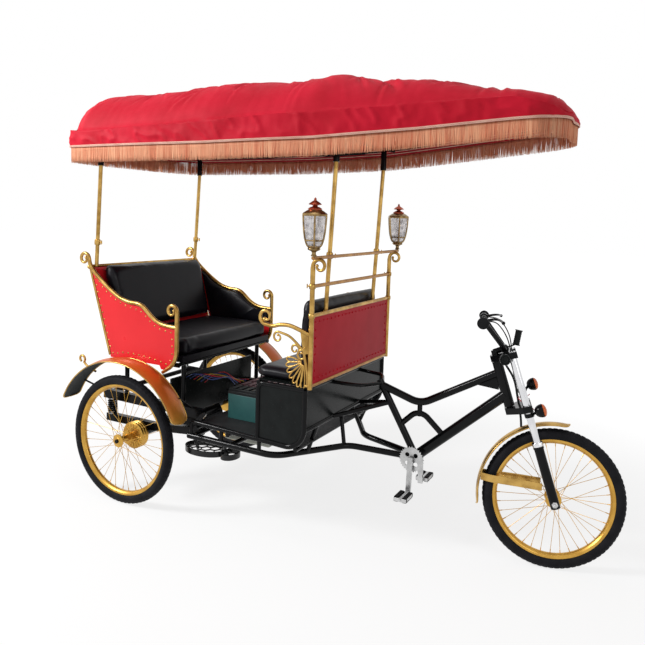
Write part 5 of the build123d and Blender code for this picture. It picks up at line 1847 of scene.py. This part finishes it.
@dataclass
class Controls:
    """The handlebar's grips and levers, the horn and the two turn lamps."""

    head: Array = field(default_factory=lambda: at(1.862, 0, 0.6945))
    tilt: float = math.radians(19.0)
    turn: float = math.radians(15.5)

    def axes(self) -> tuple[Array, Array, Array]:
        """The fork's forward, left and upward directions: turned by its angle about the
        tilted steering axis.

        Returns:
            The three directions.
        """
        up = np.array([-math.sin(self.tilt), 0, math.cos(self.tilt)])
        forward = np.array([math.cos(self.tilt) * math.cos(self.turn), math.sin(self.turn),
                            math.sin(self.tilt) * math.cos(self.turn)])
        return forward, np.cross(up, forward), up

    def on(self, x: float, y: float, z: float) -> Array:
        """A point of the steered front end."""
        forward, left, up = self.axes()
        return self.head + forward * x + left * y + up * z

    def build(self) -> list[bpy.types.Object]:
        """Makes the grips, levers, horn and lamps.

        Returns:
            The pieces.
        """
        return self.bar_ends() + self.horn() + self.lamps()

    def bar_ends(self) -> list[bpy.types.Object]:
        """Makes each ribbed grip as a turned form and each lever as a tapering bent tube.

        Returns:
            The grips and the levers.
        """
        _, left, up = self.axes()
        grips = Shape("ribbed_grips", GRIP_RUBBER)
        levers = Shape("brake_lever_arms", BLACK, ALLOY)
        for side in (-1, 1):
            rings = np.arange(12) * 0.0085
            profile = [(0.0112, 0.0), (0.0185, 0.0), (0.0195, 0.004)]
            for k in rings:
                profile += [(0.0168, 0.007 + k), (0.0172, 0.0095 + k), (0.0158, 0.0115 + k),
                            (0.0160, 0.0130 + k)]
            profile += [(0.0168, 0.109), (0.0238, 0.110), (0.0246, 0.113), (0.0238, 0.117),
                        (0.0200, 0.1185), (0.0010, 0.1185)]
            grips.lathe(np.array(profile), self.on(-0.006, side * 0.185, 0.403), left * side, 32)
            y = side * 0.171
            levers.lathe(np.array([(0.0112, -0.012), (0.0180, -0.011), (0.0185, 0.0),
                                   (0.0180, 0.011), (0.0112, 0.012)]), self.on(-0.006, y, 0.403),
                         left, 24, closed=True)
            arm = curve(np.array([self.on(0.006, y, 0.403), self.on(0.036, y + side * 0.004,
                                                                    0.401),
                                  self.on(0.056, y + side * 0.022, 0.396),
                                  self.on(0.066, y + side * 0.055, 0.390),
                                  self.on(0.072, side * 0.262, 0.384),
                                  self.on(0.073, side * 0.274, 0.382)]), 40)
            levers.tube(arm, np.linspace(0.0078, 0.0048, 40), 12, normal=up, flat=0.8)
            ball(levers, arm[-1], 0.0078)
        return [grips.make(Body.FORK, ("grips",), sharp=35),
                levers.make(Body.FORK, ("brake_levers",), sharp=50)]

    def horn(self) -> list[bpy.types.Object]:
        """Makes the horn's drum, the switch's stalk and its ribbed handle.

        Returns:
            The horn.
        """
        left = self.axes()[1]
        horn = Shape("horn_and_switch", PANEL_BLACK, BLACK)
        drum = [(0.001, 0.0), (0.0215, 0.0), (0.0238, 0.003), (0.0240, 0.030), (0.0225, 0.034),
                (0.0190, 0.0352), (0.0170, 0.0330), (0.0150, 0.0330), (0.0130, 0.0352),
                (0.0090, 0.0352), (0.0075, 0.0330), (0.001, 0.0330)]
        horn.lathe(np.array(drum), self.on(0.038, -0.092, 0.217), -left, 36)
        horn.tube(np.stack([self.on(0.038, -0.095, 0.217), self.on(0.050, -0.070, 0.217),
                            self.on(0.060, -0.045, 0.217)]), 0.006, 10, slot=1)
        stalk = curve(np.array([self.on(0.050, 0.0, 0.255), self.on(0.075, 0.0, 0.256),
                                self.on(0.092, 0, 0.258), self.on(0.104, 0, 0.262)]), 20)
        horn.tube(stalk, 0.0035, 8, slot=1, normal=left)
        grip = [(0.001, 0.0), (0.0172, 0.0), (0.0172, 0.004)]
        for k in range(7):
            grip += [(0.0140, 0.006 + k * 0.0085), (0.0150, 0.0095 + k * 0.0085)]
        grip += [(0.0140, 0.064), (0.0172, 0.0655), (0.0172, 0.069), (0.001, 0.0695)]
        lean = self.on(0.132, 0, 0.317) - self.on(0.100, 0, 0.255)
        horn.lathe(np.array(grip), self.on(0.100, 0, 0.255), lean, 28)
        return [horn.make(Body.FORK, ("horn",), sharp=35)]

    def lamps(self) -> list[bpy.types.Object]:
        """Makes each turn lamp as a clamp, an arm, a turned shell and a domed lens.

        Returns:
            The shells and the lenses.
        """
        forward, _, up = self.axes()
        bodies = Shape("turn_lamp_shells", BLACK, PANEL_BLACK)
        lenses = Shape("turn_lamp_lenses", AMBER)
        for side, clamp, lift in ((-1, -0.046, -0.034), (1, 0.044, 0.054)):
            y = side * 0.069
            bodies.lathe(np.array([(0.0167, -0.009), (0.0205, -0.0085), (0.0212, 0.0),
                                   (0.0205, 0.0085), (0.0167, 0.009)]),
                         self.on(0.072, y, clamp), up, 28, closed=True)
            bodies.tube(np.stack([self.on(0.090, y, clamp), self.on(0.098, y + side * 0.012,
                                                                   (clamp + lift) / 2),
                                  self.on(0.104, y + side * 0.020, lift)]), 0.0058, 10)
            shell = [(0.001, 0.0), (0.011, 0.0012), (0.019, 0.0065), (0.0245, 0.0140),
                     (0.0278, 0.0240), (0.0288, 0.0330), (0.0288, 0.0358), (0.0268, 0.0362),
                     (0.001, 0.0362)]
            bodies.lathe(np.array(shell), self.on(0.098, side * 0.093, lift), forward, 36)
            t = np.linspace(0, np.pi / 2, 10)
            dome = np.stack([0.0275 * np.cos(t) + 0.0002, 0.0365 + 0.0150 * np.sin(t)], 1)
            dome[1:-1, 0] -= 0.0004 * (np.arange(8) % 2)
            dome = np.vstack([[0.001, 0.0363], [0.0275, 0.0363], dome, [0.0008, 0.0516]])
            lenses.lathe(dome, self.on(0.098, side * 0.093, lift), forward, 36)
        return [bodies.make(Body.FORK, ("lamp_bodies",), sharp=45),
                lenses.make(Body.FORK, ("lamp_lenses",), sharp=60)]


@dataclass
class FrontEnd:
    """What the fork carries: mudguard stays, bright rings, axle nuts and held cables."""

    controls: Controls
    spread: float = 0.069
    rake: float = 0.072
    drop: float = 0.4343

    def build(self) -> list[bpy.types.Object]:
        """Makes the parts in the fork's own directions.

        Returns:
            The pieces.
        """
        return self.metalwork() + self.cables()

    def metalwork(self) -> list[bpy.types.Object]:
        """Makes the rings and nuts as turned forms and the stays as flattened tubes.

        Returns:
            The rings with the nuts, and the stays.
        """
        on = self.controls.on
        _, left, up = self.controls.axes()
        bright = Shape("fork_rings_and_nuts", CHROME, ALLOY)
        stays = Shape("front_mudguard_stays", GILT)
        for side in (-1, 1):
            ring = np.array([(0.0168, -0.004), (0.0236, -0.003), (0.0242, 0.0), (0.0242, 0.012),
                             (0.0225, 0.0145), (0.0168, 0.015)])
            bright.lathe(ring, on(self.rake, side * self.spread, 0.254 - self.drop), up, 32,
                         closed=True)
            nut = np.array([(0.0010, 0.0), (0.0135, 0.0), (0.0135, 0.010), (0.0080, 0.0115),
                            (0.0078, 0.020), (0.0062, 0.0215), (0.0010, 0.0218)])
            bright.lathe(nut, on(self.rake, side * (self.spread + 0.021), -self.drop),
                         left * side, 6, slot=1)
            band = curve(np.array([on(-0.205, side * 0.0335, -0.268), on(-0.150, side * 0.0400,
                                                                         -0.292),
                                   on(-0.050, side * 0.0440, -0.330),
                                   on(0.040, side * 0.0450, -0.366)]), 30)
            stays.tube(band, 0.0160, 12, normal=left, flat=0.12)
        return [bright.make(Body.FORK, sharp=35),
                stays.make(Body.FORK, sharp=60)]

    def cables(self) -> list[bpy.types.Object]:
        """Makes the control cables, lamp wires and loom as tubes along smooth lines, with both
        ends of each on the fork.

        Returns:
            The cables.
        """
        on = self.controls.on
        forward, left, up = self.controls.axes()
        cables = Shape("control_cables", BLACK, RED_WIRE)
        for side, sweep in ((-1, 0.050), (1, 0.062)):
            line = curve(np.array([on(0.012, side * 0.158, 0.400), on(sweep, side * 0.118, 0.372),
                                   on(sweep + 0.022, side * 0.070, 0.290),
                                   on(0.062, side * 0.028, 0.170), on(0.046, side * 0.020, 0.060),
                                   on(0.040, side * 0.018, 0.010)]), 60)
            cables.tube(line, 0.0027, 8, normal=forward)
            wire = curve(np.array([on(0.044, side * 0.016, 0.030),
                                   on(0.070, side * 0.036, 0.010 * side),
                                   on(0.088, side * 0.066, 0.012 * side),
                                   on(0.100, side * 0.080, -0.030 + 0.045 * (side > 0))]), 40)
            cables.tube(wire, 0.0019, 8, normal=up, slot=1)
        loom = curve(np.array([on(0.030, 0.012, 0.190), on(0.050, 0.016, 0.110),
                               on(0.044, 0.018, 0.020), on(0.034, 0.016, -0.060),
                               on(0.020, 0.014, -0.120)]), 40)
        cables.tube(loom, 0.0052, 10, normal=left)
        return [cables.make(Body.FORK, sharp=60)]


@dataclass
class Studio:
    """The pale floor, the soft lamps and the camera."""

    eye: Array = field(default_factory=lambda: at(2.501, -2.903, 1.525))
    bearing: float = math.radians(26.71)
    dip: float = math.radians(4.642)
    roll: float = math.radians(1.895)
    focal_px: float = 654.08
    centre_px: tuple[float, float] = (350.6, 267.9)
    frame_px: float = 645.0
    fill: float = 0.31
    lamps: tuple[tuple[str, Colour, Colour, float, float], ...] = (
        ("key", (-3.9, -3.2, 3.7), (0.0, 0.0, 1.2), 1.2, 235.0),
        ("front", (4.4, -2.4, 2.6), (0.4, 0.0, 0.9), 2.4, 34.0),
        ("top", (-0.4, -0.6, 5.4), (0.0, 0.0, 1.0), 2.0, 26.0))

    def build(self) -> None:
        """Makes the world, the floor, the lamps and the camera."""
        self.world()
        self.floor()
        for name, place, aim, size, power in self.lamps:
            self.lamp(name, place, aim, size, power)
        self.camera()

    def world(self) -> None:
        """Makes a plain pale world: white to the eye and in gloss, softer as light."""
        world = bpy.data.worlds.new("studio")
        bpy.context.scene.world = world
        world.use_nodes = True
        tree = world.node_tree
        path = node(tree, "LightPath")
        seen = node(tree, "Math", {0: path.outputs["Is Camera Ray"],
                                   1: path.outputs["Is Transmission Ray"]}, operation="MAXIMUM")
        gloss = node(tree, "Math", {0: seen.outputs["Value"],
                                    1: path.outputs["Is Glossy Ray"]}, operation="MAXIMUM")
        strength = node(tree, "MapRange", {"To Min": self.fill, "To Max": 1.0,
                                           "Value": gloss.outputs["Value"]})
        background = tree.nodes["Background"]
        background.inputs["Color"].default_value = (1.0, 1.0, 1.0, 1.0)
        tree.links.new(strength.outputs["Result"], background.inputs["Strength"])

    def floor(self) -> None:
        """Makes the pale floor, white to the eye apart from a soft shadow."""
        mesh = bpy.data.meshes.new("floor")
        far = 30.0
        mesh.from_pydata([(-far, -far, 0), (far, -far, 0), (far, far, 0), (-far, far, 0)], [],
                         [(0, 1, 2, 3)])
        floor = bpy.data.objects.new("floor", mesh)
        bpy.context.scene.collection.objects.link(floor)
        made = bpy.data.materials.new("floor_white")
        made.use_nodes = True
        tree = made.node_tree
        tree.nodes.remove(tree.nodes["Principled BSDF"])
        matt = node(tree, "BsdfDiffuse", {"Color": (0.85, 0.85, 0.85, 1.0)})
        glow = node(tree, "Emission", {"Color": (1.0, 1.0, 1.0, 1.0), "Strength": 1.08})
        path = node(tree, "LightPath")
        place = node(tree, "TexCoord").outputs["Object"]
        away = node(tree, "VectorMath", {0: place}, operation="LENGTH")
        share = node(tree, "MapRange", {"From Min": 1.4, "From Max": 3.6, "To Min": 0.74,
                                        "To Max": 1.0, "Value": away.outputs["Value"]},
                     interpolation_type="SMOOTHSTEP")
        seen = node(tree, "Math", {0: path.outputs["Is Camera Ray"],
                                   1: share.outputs["Result"]}, operation="MULTIPLY")
        gloss = node(tree, "Math", {0: seen.outputs["Value"],
                                    1: path.outputs["Is Glossy Ray"]}, operation="MAXIMUM")
        mix = node(tree, "MixShader", {"Fac": gloss.outputs["Value"], 1: matt.outputs["BSDF"],
                                       2: glow.outputs["Emission"]})
        tree.links.new(mix.outputs["Shader"], tree.nodes["Material Output"].inputs["Surface"])
        mesh.materials.append(made)

    def lamp(self, name: str, place: Colour, aim: Colour, size: float, power: float) -> None:
        """Makes a soft square lamp.

        Args:
            name: the lamp's name.
            place: where it hangs.
            aim: the point that it faces.
            size: its side.
            power: its power in watts.
        """
        data = bpy.data.lights.new(name, "AREA")
        data.size = size
        data.energy = power
        lamp = bpy.data.objects.new(name, data)
        lamp.location = place
        lamp.rotation_euler = (Vector(aim) - Vector(place)).to_track_quat("-Z", "Y").to_euler()
        bpy.context.scene.collection.objects.link(lamp)

    def camera(self) -> None:
        """Makes the camera at the photograph's angle."""
        a, e, r = self.bearing, self.dip, self.roll
        ahead = Vector((-math.sin(a) * math.cos(e), math.cos(a) * math.cos(e), -math.sin(e)))
        right = Vector((math.cos(a), math.sin(a), 0))
        up = right.cross(ahead)
        across = right * math.cos(r) + up * math.sin(r)
        upward = up * math.cos(r) - right * math.sin(r)
        data = bpy.data.cameras.new("camera")
        data.sensor_width = 36.0
        data.lens = 36.0 * self.focal_px / self.frame_px
        data.shift_x = -(self.centre_px[0] - self.frame_px / 2) / self.frame_px
        data.shift_y = -(self.frame_px / 2 - self.centre_px[1]) / self.frame_px
        camera = bpy.data.objects.new("camera", data)
        turn = Matrix((across, upward, -ahead)).transposed().to_4x4()
        camera.matrix_world = Matrix.Translation(Vector(self.eye)) @ turn
        bpy.context.scene.collection.objects.link(camera)
        bpy.context.scene.camera = camera


def dress_frame() -> None:
    """Gives every CAD node that stays its finish."""
    for name in ("floor_rails", "low_rails", "low_rail_ends", "main_frame", "rear_frame",
                 "rear_axle", "trailing_arms", "mudguard_stays", "canopy_frame", "handlebar",
                 "fork_crowns", "fork_legs"):
        dress(name, BLACK)
    for name in ("rear_panel_right", "rear_panel_left", "rear_back_panel"):
        dress(name, RED)
    # The front panel gets the side panels' red with painted shade.
    dress("front_panel", SHADED_RED)
    dress("bench_box", PANEL_BLACK)
    dress("rear_seat_board", VINYL)
    dress("footwell_floor", FLOOR_MAT)
    dress("fork_stanchions", CHROME)
    dress("crankset", ALLOY)


def main() -> None:
    """Builds every sub-assembly in order and reports each piece."""
    bpy.context.scene.view_settings.view_transform = "Standard"
    dress_frame()
    controls = Controls()
    forward, left, up = controls.axes()
    hub = np.array([1.1103, 0.0192412, 0.306436])
    assemblies = [
        Canopy(),
        Fringe(),
        RearBench(),
        FrontBench(),
        Lanterns(),
        CanopyPosts(),
        FrontEnd(controls),
        Wheel("rear_right", Body.REAR_RIGHT, at(0, -TRACK_HALF, REAR_R), LEFT,
              REAR_R, 1),
        Wheel("rear_left", Body.REAR_LEFT, at(0, TRACK_HALF, REAR_R), LEFT,
              REAR_R, -1),
        Wheel("front", Body.FRONT_WHEEL, hub, left, FRONT_R, 0, 0.040),
        *(Mudguard(name, "rear_mudguards", Body.CHASSIS, at(0, y, REAR_R), FORWARD, UP, 0.425,
                   0.0555, 0.012, 21.0, 157.0, ORANGE)
          for name, y in (("rear_mudguard_strips", -0.4835),
                          ("rear_mudguard_strip_left", 0.4835))),
        Mudguard("front_mudguard_strip", "front_mudguard", Body.FORK, hub, forward, up, 0.336,
                 0.031, 0.009, 62.0, 172.0, GILT),
        Steps(),
        Springs(),
        Batteries(),
        Pedal("pedal_right", Body.PEDAL_RIGHT, -0.142),
        Pedal("pedal_left", Body.PEDAL_LEFT, 0.142),
        controls,
        Cushion("rear_seat_pad", "rear_seat_cushion",
                np.array([(-0.146, 0.789), (0.308, 0.789), (0.308, 0.861), (-0.146, 0.861)]),
                0.380, 1.0, 0.012),
        Cushion("rear_back_pad", "rear_backrest",
                np.array([(-0.120, 0.869), (-0.172, 0.869), (-0.276, 1.204), (-0.262, 1.222),
                          (-0.230, 1.216), (-0.213, 1.200)]), 0.380, 1.0, 0.012),
        Cushion("front_seat_pad", "front_seat_cushion",
                np.array([(0.745, 0.754), (0.987, 0.754), (0.987, 0.798), (0.745, 0.798)]),
                0.400, 1.0, 0.010),
        Cushion("front_back_pad", "front_backrest",
                np.array([(0.970, 0.807), (1.015, 0.807), (1.024, 1.136), (0.980, 1.136)]),
                0.370, 1.0, 0.010),
        SidePad(-1, "right"),
        SidePad(1, "left"),
    ]
    for assembly in assemblies:
        for piece in assembly.build():
            LOG.info("%s: %d faces", piece.name, len(piece.data.polygons))
    Studio().build()


if __name__ == "__main__":
    logging.basicConfig(level=logging.INFO, format="%(message)s")
    main()
